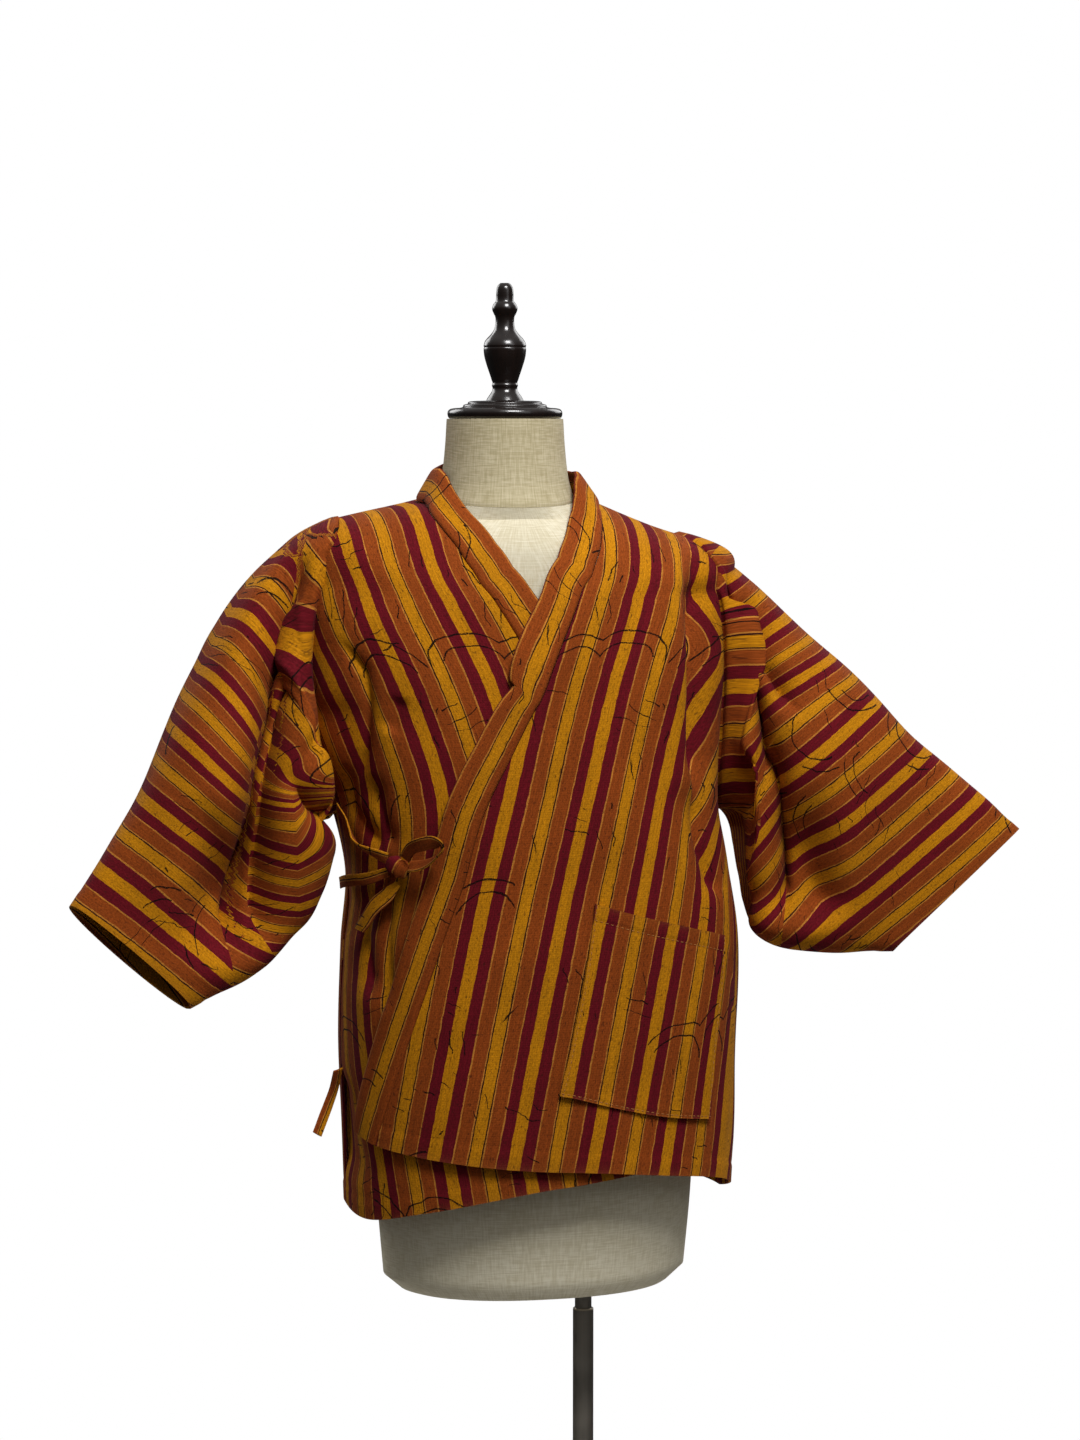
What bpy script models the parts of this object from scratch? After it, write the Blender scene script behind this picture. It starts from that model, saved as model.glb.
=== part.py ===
"""A striped hanten jacket on a limbless dress form with a turned cap and a pole stand.

Frame: metres, +Z up. The jacket's front faces -Y, the wearer's right is at -X, and the origin is
the centre of the stand's underside on the floor.

The jacket is cut and sewn like the real one. Each body panel is one cloth from the front hem over
the shoulder to the back hem, with a centre back seam, side seams and armholes. A folded band runs
round the neck and down both front edges, two tapered sleeves join the armholes, and a patch pocket
and tie strips lie on top. The wearer's left front lies over the right front.

Every cloth piece on the body follows one surface, given by rings around the form. A place on it is
an angle (0 at the front, 90 at the wearer's left, 180 at the back, -90 at the wearer's right) and a
height, and its lift is how far out from that surface it lies.
"""
import math

import bmesh
import bpy
import numpy as np

# Cloth
CLOTH_THICKNESS = 0.002
BAND_THICKNESS = 0.004
TIE_THICKNESS = 0.002
TIE_WIDTH = 0.012
OPENED_TIE_WIDTH = 0.016
SEAM_GAP = 0.0003
OVERLAP_LIFT = 0.007
POCKET_CLEARANCE = 0.0006
# Seams at the side and the centre back, in degrees round the body.
SIDE_SEAM_HALF_GAP = 0.06
CENTRE_BACK_ANGLE = 179.93
# Small steps that give the surface's directions, in degrees round and metres up.
STEP_ANGLE = 0.5
STEP_HEIGHT = 0.001
# Edges that turn by more than this stay sharp, in degrees.
SHARP_EDGE_ANGLE = 40.0

# Body rings, from the bottom of the form to the neck opening. Right and left are places on X, front
# and back places on Y. A rise is how far the ring's front, back and sides stand above its height.
BODY_RINGS = (
    # height, right, left, front, back, squareness, rise_front, rise_back, rise_right, rise_left
    (0.600, -0.240, 0.132, -0.146, 0.120, 2.2, 0.000, 0.000, 0.000, 0.000),
    (0.690, -0.243, 0.136, -0.148, 0.124, 2.3, 0.000, 0.000, 0.000, 0.000),
    (0.860, -0.248, 0.142, -0.146, 0.124, 2.3, 0.000, 0.000, 0.000, 0.000),
    (0.950, -0.246, 0.144, -0.143, 0.120, 2.3, 0.000, 0.000, 0.000, 0.000),
    (1.020, -0.240, 0.134, -0.140, 0.120, 2.3, 0.000, 0.000, 0.000, 0.000),
    (1.085, -0.254, 0.124, -0.140, 0.124, 2.3, 0.000, 0.000, 0.000, 0.000),
    (1.160, -0.278, 0.127, -0.138, 0.130, 2.3, 0.000, 0.000, 0.000, 0.000),
    (1.240, -0.289, 0.132, -0.131, 0.134, 2.3, 0.000, 0.000, 0.000, 0.000),
    (1.300, -0.287, 0.133, -0.119, 0.130, 2.3, -0.010, 0.000, 0.006, -0.004),
    (1.345, -0.270, 0.122, -0.104, 0.120, 2.2, -0.022, 0.000, 0.016, -0.006),
    (1.366, -0.222, 0.066, -0.092, 0.108, 2.1, -0.016, 0.012, 0.008, -0.006),
    (1.385, -0.166, 0.012, -0.076, 0.090, 2.0, -0.010, 0.014, -0.002, -0.002),
)
ARMPIT_HEIGHT = 1.080
SHOULDER_HEIGHT = 1.358
NECK_HEIGHT = 1.385

# The armhole is a slit at each side, as wide in angle as this either side of 90 degrees.
ARMHOLE = (
    # height, half_angle
    (1.080, 0.0), (1.110, 8.0), (1.160, 14.0), (1.233, 18.0),
    (1.290, 24.0), (1.325, 27.0), (1.345, 24.0), (1.352, 16.0), (1.358, 0.0),
)

# Each front's edge, where the band is sewn on, from the hem to the neck.
LEFT_FRONT_EDGE = (
    # height, angle
    (0.690, -70.0), (0.771, -57.5), (0.852, -46.0), (0.930, -36.5), (1.010, -28.0), (1.080, -18.0),
    (1.150, -5.5), (1.193, 0.1), (1.228, 3.2), (1.266, 6.4), (1.298, 9.2), (1.331, 12.5), (1.348, 17.5),
    (1.358, 24.3), (1.369, 34.8), (1.377, 46.6), (1.382, 58.0), (1.385, 74.0),
)
RIGHT_FRONT_EDGE = (
    # height, angle
    (0.690, 62.0), (0.771, 54.0), (0.852, 45.0), (0.930, 36.5), (1.010, 28.0), (1.080, 20.0),
    (1.150, 8.5), (1.205, 2.5), (1.251, -1.9), (1.265, -3.4), (1.293, -6.7), (1.321, -11.0),
    (1.346, -17.0), (1.362, -27.0), (1.372, -40.1), (1.378, -52.2), (1.382, -62.0), (1.385, -74.0),
)

# Front hems: heights at shares of the way across, from the band's seam to the side seam.
# The wrap pulls the overlapping corner of each front upwards.
LEFT_FRONT_HEM = (
    # across, height
    (0.0, 0.764), (0.30, 0.748), (0.55, 0.735), (0.80, 0.716), (1.0, 0.690),
)
RIGHT_FRONT_HEM = (
    # across, height
    (0.0, 0.748), (0.38, 0.727), (0.68, 0.700), (0.86, 0.686), (1.0, 0.690),
)
BACK_HEM_HEIGHT = 0.690

# How the panels are divided: cells below the armpit, beside the armhole, and over the shoulder.
CELLS_BELOW_ARMPIT = 11
CELLS_BESIDE_ARMHOLE = 16
CELLS_OVER_SHOULDER = 4
CELLS_ACROSS_FRONT = 16
CELLS_ACROSS_BACK = 7
ARMHOLE_CLUSTERING = 1.3
NECK_CLUSTERING = 1.6

# The left front's lift over the right front fades out round the side and near the shoulder.
LIFT_FADES_FROM_ANGLE = 70.0
LIFT_FADE_ANGLE = 40.0
LIFT_FADES_FROM_HEIGHT = 1.310
LIFT_FADE_HEIGHT = 0.075

# The band lies on the chest and stands up round the neck, where it leans in as it rises to a
# radius round the neck's axis.
BAND_WIDTH = 0.0375
BAND_SEAT = 0.0026
BAND_LEAVES_CHEST_HEIGHT = 1.200
BAND_FLAT_FROM_HEIGHT = 1.300
BAND_STANDS_FROM_HEIGHT = 1.335
BAND_TOP_RADIUS = 0.069
BAND_RISE = 0.030
BAND_CELLS = 3
BAND_STATIONS_OVER_FRONT = 4

# Folds on the body: a crease from one place to another on X and Z, on the front or the back.
BODY_FOLDS = (
    # face, x_start, z_start, x_end, z_end, depth, width
    ("front", 0.088, 1.290, 0.088, 1.140, -0.009, 0.016),
    ("front", 0.060, 1.300, 0.066, 1.120, 0.005, 0.018),
    ("front", -0.258, 1.180, -0.236, 1.110, -0.006, 0.018),
    ("back", -0.190, 1.240, -0.150, 0.900, 0.008, 0.030),
    ("back", 0.060, 1.240, 0.030, 0.900, 0.008, 0.030),
)

# Sleeve sections, from the armhole to the cuff: the top and bottom edge of each, and how far the
# front and back walls bulge from the line between them.
RIGHT_SLEEVE = (
    # station, top_x, top_y, top_z, bottom_x, bottom_y, bottom_z, front, back
    (0.0, -0.249, 0.000, 1.366, -0.256, 0.000, 1.080, 0.050, 0.050),
    (1.0, -0.290, -0.004, 1.350, -0.266, -0.008, 1.069, 0.068, 0.062),
    (2.0, -0.333, -0.015, 1.312, -0.272, -0.012, 1.056, 0.084, 0.072),
    (3.0, -0.361, -0.025, 1.276, -0.275, -0.018, 1.042, 0.094, 0.076),
    (4.0, -0.383, -0.035, 1.239, -0.277, -0.026, 1.026, 0.094, 0.076),
    (5.0, -0.420, -0.050, 1.170, -0.281, -0.040, 1.003, 0.086, 0.070),
    (6.0, -0.450, -0.062, 1.111, -0.297, -0.058, 0.971, 0.068, 0.058),
    (7.0, -0.482, -0.075, 1.057, -0.340, -0.082, 0.938, 0.046, 0.044),
    (8.0, -0.519, -0.090, 1.006, -0.409, -0.105, 0.908, 0.026, 0.030),
)
LEFT_SLEEVE = (
    # station, top_x, top_y, top_z, bottom_x, bottom_y, bottom_z, front, back
    (0.0, 0.083, 0.000, 1.352, 0.125, 0.000, 1.080, 0.050, 0.050),
    (1.0, 0.125, -0.004, 1.336, 0.138, -0.008, 1.068, 0.068, 0.062),
    (2.0, 0.166, -0.015, 1.305, 0.146, -0.012, 1.052, 0.084, 0.070),
    (3.0, 0.207, -0.025, 1.270, 0.149, -0.018, 1.034, 0.090, 0.074),
    (4.0, 0.241, -0.035, 1.237, 0.151, -0.026, 1.012, 0.088, 0.072),
    (5.0, 0.277, -0.047, 1.202, 0.154, -0.040, 0.984, 0.080, 0.066),
    (6.0, 0.327, -0.062, 1.148, 0.168, -0.058, 0.953, 0.062, 0.054),
    (7.0, 0.377, -0.075, 1.103, 0.212, -0.080, 0.938, 0.040, 0.038),
    (8.0, 0.428, -0.090, 1.056, 0.294, -0.100, 0.940, 0.018, 0.018),
)
SLEEVE_RINGS_PER_SECTION = 2
SLEEVE_BULGE_SHAPE = 0.42
SLEEVE_STAND = 0.005
ARMHOLE_BLEND_SECTIONS = 3.0
SLEEVE_FOLDS_FROM_STATION = 1.5
RIGHT_SLEEVE_FOLDS = (
    # face, x_start, z_start, x_end, z_end, depth, width
    ("front", -0.328, 1.270, -0.340, 1.190, -0.010, 0.020),
    ("front", -0.340, 1.190, -0.353, 1.100, -0.012, 0.020),
    ("front", -0.353, 1.100, -0.358, 1.010, -0.010, 0.020),
    ("back", -0.330, 1.270, -0.370, 1.020, -0.010, 0.026),
)
LEFT_SLEEVE_FOLDS = (
    # face, x_start, z_start, x_end, z_end, depth, width
    ("front", 0.144, 1.262, 0.168, 1.208, -0.008, 0.020),
    ("front", 0.168, 1.208, 0.181, 1.110, -0.011, 0.020),
    ("front", 0.181, 1.110, 0.182, 0.985, -0.010, 0.020),
    ("back", 0.150, 1.250, 0.200, 1.010, -0.010, 0.026),
)
# How far a sleeve stays clear of the body at its first stations.
SLEEVE_CLEARANCE = (
    # station, clearance
    (0.0, 0.0), (0.5, 0.007), (1.0, 0.012), (2.0, 0.014), (4.0, 0.014), (5.0, 0.010), (8.0, 0.006),
)

# Patch pocket on the left front, by its corners.
POCKET_EDGES = (
    # across, top_angle, top_height, bottom_angle, bottom_height
    (0.0, 6.4, 1.002, -1.0, 0.818),
    (0.3, 16.8, 0.990, 12.0, 0.803),
    (0.6, 32.0, 0.976, 26.5, 0.791),
    (1.0, 54.5, 0.959, 47.0, 0.781),
)
POCKET_CELLS_ACROSS = 12
POCKET_CELLS_DOWN = 9

# Tie strips by their path on the body surface. The face angle turns a strip about its path: 0 lies
# flat on the body and 90 stands on edge.
KNOT_ANGLE = -48.6
KNOT_HEIGHT = 1.0390
KNOT_LIFT = 0.0102
KNOT_SIZE = (0.024, 0.014, 0.016)
KNOT_TILT = 28.0
KNOT_EDGE_RADIUS = 0.0045
KNOT_EDGE_CUTS = 3
TIE_LOOP = (
    # angle, height, lift, face_angle
    (-44.6, 1.0485, 0.0130, 10.0), (-40.5, 1.0600, 0.0190, 25.0), (-36.5, 1.0655, 0.0260, 35.0),
    (-32.0, 1.0690, 0.0320, 45.0), (-29.3, 1.0665, 0.0350, 85.0), (-30.4, 1.0585, 0.0310, 110.0),
    (-34.0, 1.0500, 0.0240, 110.0), (-39.0, 1.0430, 0.0170, 90.0), (-43.6, 1.0405, 0.0130, 75.0),
)
TIE_SIDE_TAIL = (
    # angle, height, lift, face_angle
    (-53.2, 1.0335, 0.0105, 0.0), (-63.0, 1.0250, 0.0115, -5.0), (-72.7, 1.0205, 0.0115, -5.0),
    (-82.0, 1.0160, 0.0110, 0.0), (-89.5, 1.0110, 0.0100, 0.0),
)
TIE_HANGING_TAIL = (
    # angle, height, lift, face_angle
    (-49.8, 1.0218, 0.0100, 0.0), (-54.8, 1.0085, 0.0105, 0.0), (-60.6, 0.9960, 0.0105, 0.0),
    (-65.4, 0.9810, 0.0090, 0.0), (-70.6, 0.9670, 0.0070, 0.0),
)
TIE_FROM_SIDE = (
    # angle, height, lift, face_angle
    (-78.4, 1.0900, 0.0040, 0.0), (-72.0, 1.0830, 0.0075, 10.0), (-69.5, 1.0740, 0.0090, 30.0),
    (-67.5, 1.0640, 0.0110, 45.0), (-63.5, 1.0565, 0.0120, 40.0), (-57.4, 1.0515, 0.0115, 20.0),
    (-52.2, 1.0470, 0.0110, 0.0),
)
TIE_INNER_END = (
    # angle, height, lift, face_angle
    (-84.0, 0.8280, 0.0082, 65.0), (-86.5, 0.8090, 0.0110, 65.0), (-86.1, 0.7930, 0.0180, 70.0),
    (-84.5, 0.7790, 0.0260, 75.0), (-83.0, 0.7640, 0.0345, 75.0),
)
TIE_CELLS = 9
TIE_CUT_STARTS = 0.55

# Dress form: how far it lies inside the body surface, and its neck, cap and stand.
FORM_INSETS = (
    # height, inset
    (0.600, 0.034), (0.700, 0.030), (0.860, 0.034), (1.020, 0.036), (1.160, 0.034), (1.260, 0.026),
    (1.320, 0.014), (1.345, 0.006), (1.358, 0.0013), (1.376, 0.0013), (1.385, 0.004),
)
# Away from the shoulder's ridge the form lies further in, by this much at the front and the back.
FORM_RIDGE_CLEARANCE = 0.005
FORM_RIDGE_ANGLE = 30.0
FORM_BOTTOM_HEIGHT = 0.615
FORM_BOTTOM_EDGE = 0.012
FORM_FOOT_SHARE = 0.90
FORM_RINGS = 16
FORM_SIDES = 32
NECK_X = -0.0805
NECK_Y = 0.000
NECK_SEAM_HEIGHT = 1.3885
NECK_SEAM_TILT = 0.10
NECK_PROFILE = (
    # radius, rise over the seam
    (0.0700, 0.0000), (0.0672, 0.0070), (0.0635, 0.0190),
    (0.0615, 0.0320), (0.0595, 0.0520), (0.0578, 0.0795),
)
CAP_PROFILE = (
    # radius, height
    (0.0550, 1.4683), (0.0565, 1.4700), (0.0572, 1.4735), (0.0562, 1.4765), (0.0530, 1.4785),
    (0.0415, 1.4790), (0.0415, 1.4820), (0.0365, 1.4828), (0.0365, 1.4855), (0.0190, 1.4860),
)
FINIAL_PROFILE = (
    # radius, height
    (0.0185, 1.4863), (0.0165, 1.4900), (0.0128, 1.4950), (0.0120, 1.4985), (0.0132, 1.5010),
    (0.0120, 1.5035), (0.0132, 1.5060), (0.0140, 1.5090), (0.0175, 1.5190), (0.0205, 1.5290),
    (0.0212, 1.5370), (0.0205, 1.5385), (0.0213, 1.5400), (0.0195, 1.5455), (0.0130, 1.5520),
    (0.0095, 1.5580), (0.0090, 1.5680), (0.0112, 1.5715), (0.0130, 1.5765), (0.0112, 1.5815),
    (0.0086, 1.5835), (0.0086, 1.5935), (0.0078, 1.5985), (0.0045, 1.6015),
)
TURNED_SIDES = 20

POLE_RADIUS = 0.0085
LOWER_POLE_RADIUS = 0.0105
LOWER_POLE_TOP = 0.566
POLE_PLATE_RADIUS = 0.032
POLE_PLATE_THICKNESS = 0.006
BASE_RADIUS = 0.165
BASE_EDGE_THICKNESS = 0.008
BASE_CENTRE_THICKNESS = 0.016
BASE_HUB_RADIUS = 0.026
BASE_HUB_HEIGHT = 0.060
BASE_HUB_TAPER = 0.75
STAND_SIDES = 32

MAIN_CLOTH = "hanten_cotton"
MATERIALS = {
    "hanten_cotton": ((0.30, 0.085, 0.020), 0.92, 0.0),
    "hanten_band": ((0.36, 0.115, 0.022), 0.92, 0.0),
    "form_linen": ((0.60, 0.53, 0.38), 0.95, 0.0),
    "turned_wood": ((0.022, 0.012, 0.009), 0.28, 0.0),
    "stand_metal": ((0.055, 0.055, 0.060), 0.35, 0.9),
}


def smooth_rows(rows, position):
    """Read a table's columns after the first at any position of the first, along smooth curves."""
    table = np.asarray(rows, dtype=float)
    knots, values = table[:, 0], table[:, 1:]
    position = np.clip(np.asarray(position, dtype=float), knots[0], knots[-1])
    index = np.clip(np.searchsorted(knots, position, side="right") - 1, 0, len(knots) - 2)
    spans = np.diff(knots)[:, None]
    slopes = np.diff(values, axis=0) / spans
    inner = (slopes[1:] * spans[:-1] + slopes[:-1] * spans[1:]) / (spans[:-1] + spans[1:])
    tangents = np.vstack([slopes[:1], inner, slopes[-1:]])
    span = spans[index]
    share = (position - knots[index])[..., None] / span
    squared, cubed = share ** 2, share ** 3
    return ((2 * cubed - 3 * squared + 1) * values[index]
            + (cubed - 2 * squared + share) * span * tangents[index]
            + (3 * squared - 2 * cubed) * values[index + 1]
            + (cubed - squared) * span * tangents[index + 1])


def smooth_step(value):
    """Rise smoothly from 0 to 1 as the value does, and stay there outside that."""
    value = np.clip(value, 0.0, 1.0)
    return value * value * (3.0 - 2.0 * value)


def signed_power(value, power):
    """Raise a value's size to a power and keep its sign."""
    return np.sign(value) * np.abs(value) ** power


def unit(vectors):
    """Scale vectors to length one."""
    return vectors / np.maximum(np.linalg.norm(vectors, axis=-1, keepdims=True), 1e-12)


def body_point(angle, height):
    """The body surface: a superellipse ring at each height, tilted by its four rises."""
    angle, height = np.broadcast_arrays(np.radians(angle), height)
    columns = np.moveaxis(smooth_rows(BODY_RINGS, height), -1, 0)
    right, left, front, back, squareness, rise_front, rise_back, rise_right, rise_left = columns
    across = signed_power(np.sin(angle), 2.0 / squareness)
    forward = signed_power(np.cos(angle), 2.0 / squareness)
    sideways = np.sin(angle) ** 2
    rise = (np.where(np.sin(angle) > 0.0, rise_left, rise_right) * sideways
            + np.where(np.cos(angle) > 0.0, rise_front, rise_back) * (1.0 - sideways))
    return np.stack([(left + right) / 2 + (left - right) / 2 * across,
                     (front + back) / 2 - (back - front) / 2 * forward,
                     height + rise], axis=-1)


def body_normal(angle, height):
    """The body surface's outward direction, from small steps round and up."""
    height = np.clip(height, BODY_RINGS[0][0] + STEP_HEIGHT, NECK_HEIGHT - STEP_HEIGHT)
    round_step = body_point(angle + STEP_ANGLE, height) - body_point(angle - STEP_ANGLE, height)
    up_step = body_point(angle, height + STEP_HEIGHT) - body_point(angle, height - STEP_HEIGHT)
    return unit(np.cross(round_step, up_step))


def fold_depth(points, face, folds):
    """How far the folds on one face move a point: each crease fades across its width and at its ends."""
    depth_sum = np.zeros(points.shape[:-1])
    for fold_face, x_start, z_start, x_end, z_end, depth, width in folds:
        start = np.array([x_start, z_start])
        run = np.array([x_end, z_end]) - start
        length = np.linalg.norm(run)
        offset = points[..., (0, 2)] - start
        along = np.sum(offset * run, axis=-1) / length
        beyond = np.maximum(np.maximum(-along, along - length), 0.0)
        aside = (offset[..., 0] * run[1] - offset[..., 1] * run[0]) / length
        strength = depth * np.exp(-(aside ** 2 + beyond ** 2) / width ** 2)
        depth_sum += np.where(face == fold_face, strength, 0.0)
    return depth_sum


def on_body(angle, height, lift):
    """Points on the body surface moved out by a lift and by the body's folds, and their normals."""
    points = body_point(angle, height)
    normals = body_normal(angle, height)
    face = np.where(np.cos(np.radians(angle)) > 0.0, "front", "back")
    move = lift + fold_depth(points, face, BODY_FOLDS)
    return points + normals * move[..., None], normals


def left_lift(angle, height):
    """The left panel's lift over the right front, and none at the side, the back and the shoulder."""
    side_share = smooth_step((angle - LIFT_FADES_FROM_ANGLE) / LIFT_FADE_ANGLE)
    top_share = smooth_step((height - LIFT_FADES_FROM_HEIGHT) / LIFT_FADE_HEIGHT)
    return OVERLAP_LIFT * (1.0 - side_share) * (1.0 - top_share)


def no_lift(angle, height):
    """The right panel lies on the body surface."""
    return np.zeros(np.broadcast(angle, height).shape)


def row_heights():
    """Nominal heights of a panel's rows: even below the armpit, closer near the shoulder point."""
    below = np.linspace(BACK_HEM_HEIGHT, ARMPIT_HEIGHT, CELLS_BELOW_ARMPIT + 1)
    share = np.linspace(1.0, 0.0, CELLS_BESIDE_ARMHOLE + 1) ** ARMHOLE_CLUSTERING
    beside = SHOULDER_HEIGHT - (SHOULDER_HEIGHT - ARMPIT_HEIGHT) * share
    share = np.linspace(1.0, 0.0, CELLS_OVER_SHOULDER + 1) ** NECK_CLUSTERING
    over = NECK_HEIGHT - (NECK_HEIGHT - SHOULDER_HEIGHT) * share
    return np.concatenate([below, beside[1:], over[1:]])


def hang_to_hem(rows, hem):
    """Stretch the rows below the armpit so that the lowest one lies at the hem of each column."""
    share = (ARMPIT_HEIGHT - rows) / (ARMPIT_HEIGHT - BACK_HEM_HEIGHT)
    hung = ARMPIT_HEIGHT - share * (ARMPIT_HEIGHT - hem)
    return np.where(rows < ARMPIT_HEIGHT, hung, rows)


def side_angle(heights, is_front):
    """The angle of a panel's side edge: half a seam gap from 90, or the armhole's edge."""
    half_angle = smooth_rows(ARMHOLE, heights)[..., 0]
    below_shoulder = heights < SHOULDER_HEIGHT
    beside_armhole = below_shoulder & (heights > ARMPIT_HEIGHT)
    opening = np.where(beside_armhole, half_angle, 0.0) + np.where(below_shoulder, SIDE_SEAM_HALF_GAP, 0.0)
    return 90.0 - opening if is_front else 90.0 + opening


def front_grid(side, edge, hem, lift):
    """Angles, heights and lifts of a front: from the band's seam across to the side seam."""
    across = np.linspace(0.0, 1.0, CELLS_ACROSS_FRONT + 1)
    heights = hang_to_hem(row_heights()[:, None], smooth_rows(hem, across)[..., 0][None, :])
    seam = side * smooth_rows(edge, heights)[..., 0]
    angles = side * (seam + (side_angle(heights, True) - seam) * across)
    return angles, heights, lift(angles, heights)


def back_grid(side, lift):
    """Angles, heights and lifts of a back: from the side seam round to the centre back seam."""
    across = np.linspace(0.0, 1.0, CELLS_ACROSS_BACK + 1)
    heights = np.repeat(row_heights()[:, None], len(across), axis=1)
    start = side_angle(heights, False)
    angles = side * (start + (CENTRE_BACK_ANGLE - start) * across)
    return angles, heights, lift(angles, heights)


def finish_mesh(name, vertices, faces, material):
    """Make one closed object from points in metres and faces, with all faces pointing out."""
    mesh = bpy.data.meshes.new(name)
    mesh.from_pydata([tuple(point) for point in vertices], [], faces)
    work = bmesh.new()
    work.from_mesh(mesh)
    bmesh.ops.recalc_face_normals(work, faces=work.faces)
    work.to_mesh(mesh)
    work.free()
    mesh.shade_smooth()
    mesh.set_sharp_from_angle(angle=math.radians(SHARP_EDGE_ANGLE))
    shape = bpy.data.objects.new(name, mesh)
    shape.data.materials.append(bpy.data.materials[material])
    bpy.context.scene.collection.objects.link(shape)
    return shape


def wall_solid(name, inner, outer, quads, material):
    """Close a cloth wall: outer and inner faces over the same quads, and a rim on every open edge."""
    count = len(inner)
    uses = {}
    for quad in quads:
        for start, end in zip(quad, quad[1:] + quad[:1]):
            uses.setdefault(frozenset((start, end)), []).append((start, end))
    faces = list(quads)
    faces += [tuple(index + count for index in reversed(quad)) for quad in quads]
    for edges in uses.values():
        if len(edges) == 1:
            start, end = edges[0]
            faces.append((end, start, start + count, end + count))
    return finish_mesh(name, np.vstack([outer, inner]), faces, material)


def grid_quads(index):
    """Quads over a grid of vertex numbers."""
    corners = (index[:-1, :-1], index[:-1, 1:], index[1:, 1:], index[1:, :-1])
    return [tuple(int(value) for value in quad) for quad in np.stack(corners, axis=-1).reshape(-1, 4)]


def build_panel(name, side, edge, hem, lift):
    """One body panel: a front and a back that are one cloth above the armhole."""
    front, back = front_grid(side, edge, hem, lift), back_grid(side, lift)
    rows = len(row_heights())
    front_index = np.arange(front[0].size).reshape(front[0].shape)
    back_index = np.arange(back[0].size).reshape(back[0].shape) + front[0].size
    shoulder_row = rows - 1 - CELLS_OVER_SHOULDER
    back_index[shoulder_row:, 0] = front_index[shoulder_row:, -1]
    angles, heights, lifts = (np.concatenate([a.ravel(), b.ravel()]) for a, b in zip(front, back))
    inner = on_body(angles, heights, lifts)[0]
    outer = on_body(angles, heights, lifts + CLOTH_THICKNESS)[0]
    quads = grid_quads(front_index) + grid_quads(back_index)
    used = np.unique(np.array(quads))
    renumber = np.full(len(inner), -1)
    renumber[used] = np.arange(len(used))
    quads = [tuple(int(renumber[index]) for index in quad) for quad in quads]
    return wall_solid(name, inner[used], outer[used], quads, MAIN_CLOTH)


def armhole_loop(side, edge, hem, lift):
    """The armhole's edge on one panel, from the shoulder point down the front and up the back.

    Gives points on the wall's inner face, their outward direction and the direction into the hole.
    """
    rows = slice(CELLS_BELOW_ARMPIT, CELLS_BELOW_ARMPIT + CELLS_BESIDE_ARMHOLE + 1)
    front, back = front_grid(side, edge, hem, lift), back_grid(side, lift)
    front_edge = [values[rows, -1][::-1] for values in front]
    back_edge = [values[rows, 0][1:-1] for values in back]
    angles, heights, lifts = (np.concatenate(pair) for pair in zip(front_edge, back_edge))
    points, normals = on_body(angles, heights, lifts)
    along = unit(np.roll(points, -1, axis=0) - np.roll(points, 1, axis=0))
    into_hole = unit(np.cross(normals, along)) * side
    return points, normals, into_hole


def sleeve_rings(side, table, folds, armhole):
    """Points of a sleeve's wall, as rings from the armhole to the cuff, and their outward directions.

    The first two rings stand straight out of the armhole, and the others pass over to the sections.
    """
    hole_points, hole_normals, into_hole = armhole
    seat = hole_points + into_hole * (SEAM_GAP + CLOTH_THICKNESS / 2)
    stand = seat + hole_normals * SLEEVE_STAND
    half = CELLS_BESIDE_ARMHOLE
    share_down = np.linspace(0.0, 1.0, half + 1) ** ARMHOLE_CLUSTERING
    down = np.concatenate([share_down, share_down[1:-1][::-1]])
    is_front = np.arange(2 * half) <= half
    station = np.linspace(0.0, table[-1][0], SLEEVE_RINGS_PER_SECTION * (len(table) - 1) + 1)
    columns = smooth_rows(table, station)
    top, bottom, bulges = columns[:, 0:3], columns[:, 3:6], columns[:, 6:8]
    axis = unit(np.gradient((top + bottom) / 2, axis=0))
    forward = unit(np.cross(top - bottom, axis)) * -side
    shape = (4.0 * down * (1.0 - down)) ** SLEEVE_BULGE_SHAPE
    bulge = np.where(is_front, bulges[:, 0:1], -bulges[:, 1:2]) * shape
    rings = (top[:, None, :] + (bottom - top)[:, None, :] * down[None, :, None]
             + forward[:, None, :] * bulge[:, :, None])
    blend = np.clip(1.0 - station / ARMHOLE_BLEND_SECTIONS, 0.0, 1.0) ** 2
    rings = rings + blend[:, None, None] * (stand - rings[0])[None]
    normals = ring_normals(rings)
    fade = smooth_step(station - SLEEVE_FOLDS_FROM_STATION)[:, None]
    face = np.where(is_front, "front", "back")[None, :]
    rings = rings + normals * (fold_depth(rings, face, folds) * fade)[..., None]
    rings = clear_of_body(rings[1:], smooth_rows(SLEEVE_CLEARANCE, station[1:]))
    rings = np.concatenate([seat[None], stand[None], rings])
    normals = ring_normals(rings)
    normals[0] = -into_hole
    normals[1] = unit(normals[1] - into_hole)
    return rings, normals


def clear_of_body(points, clearance):
    """Move points out level with the floor until they are a clearance outside the body surface."""
    columns = smooth_rows(BODY_RINGS, points[..., 2])[..., :5]
    right, left, front, back, squareness = np.moveaxis(columns, -1, 0)
    centre = np.stack([(right + left) / 2, (front + back) / 2], axis=-1)
    half = np.stack([(left - right) / 2, (back - front) / 2], axis=-1) + clearance[:, None, :]
    offset = points[..., :2] - centre
    reach = np.sum(np.abs(offset / half) ** squareness[..., None], axis=-1) ** (1.0 / squareness)
    level = centre + offset * np.maximum(1.0, 1.0 / np.maximum(reach, 1e-6))[..., None]
    return np.concatenate([level, points[..., 2:]], axis=-1)


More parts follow.
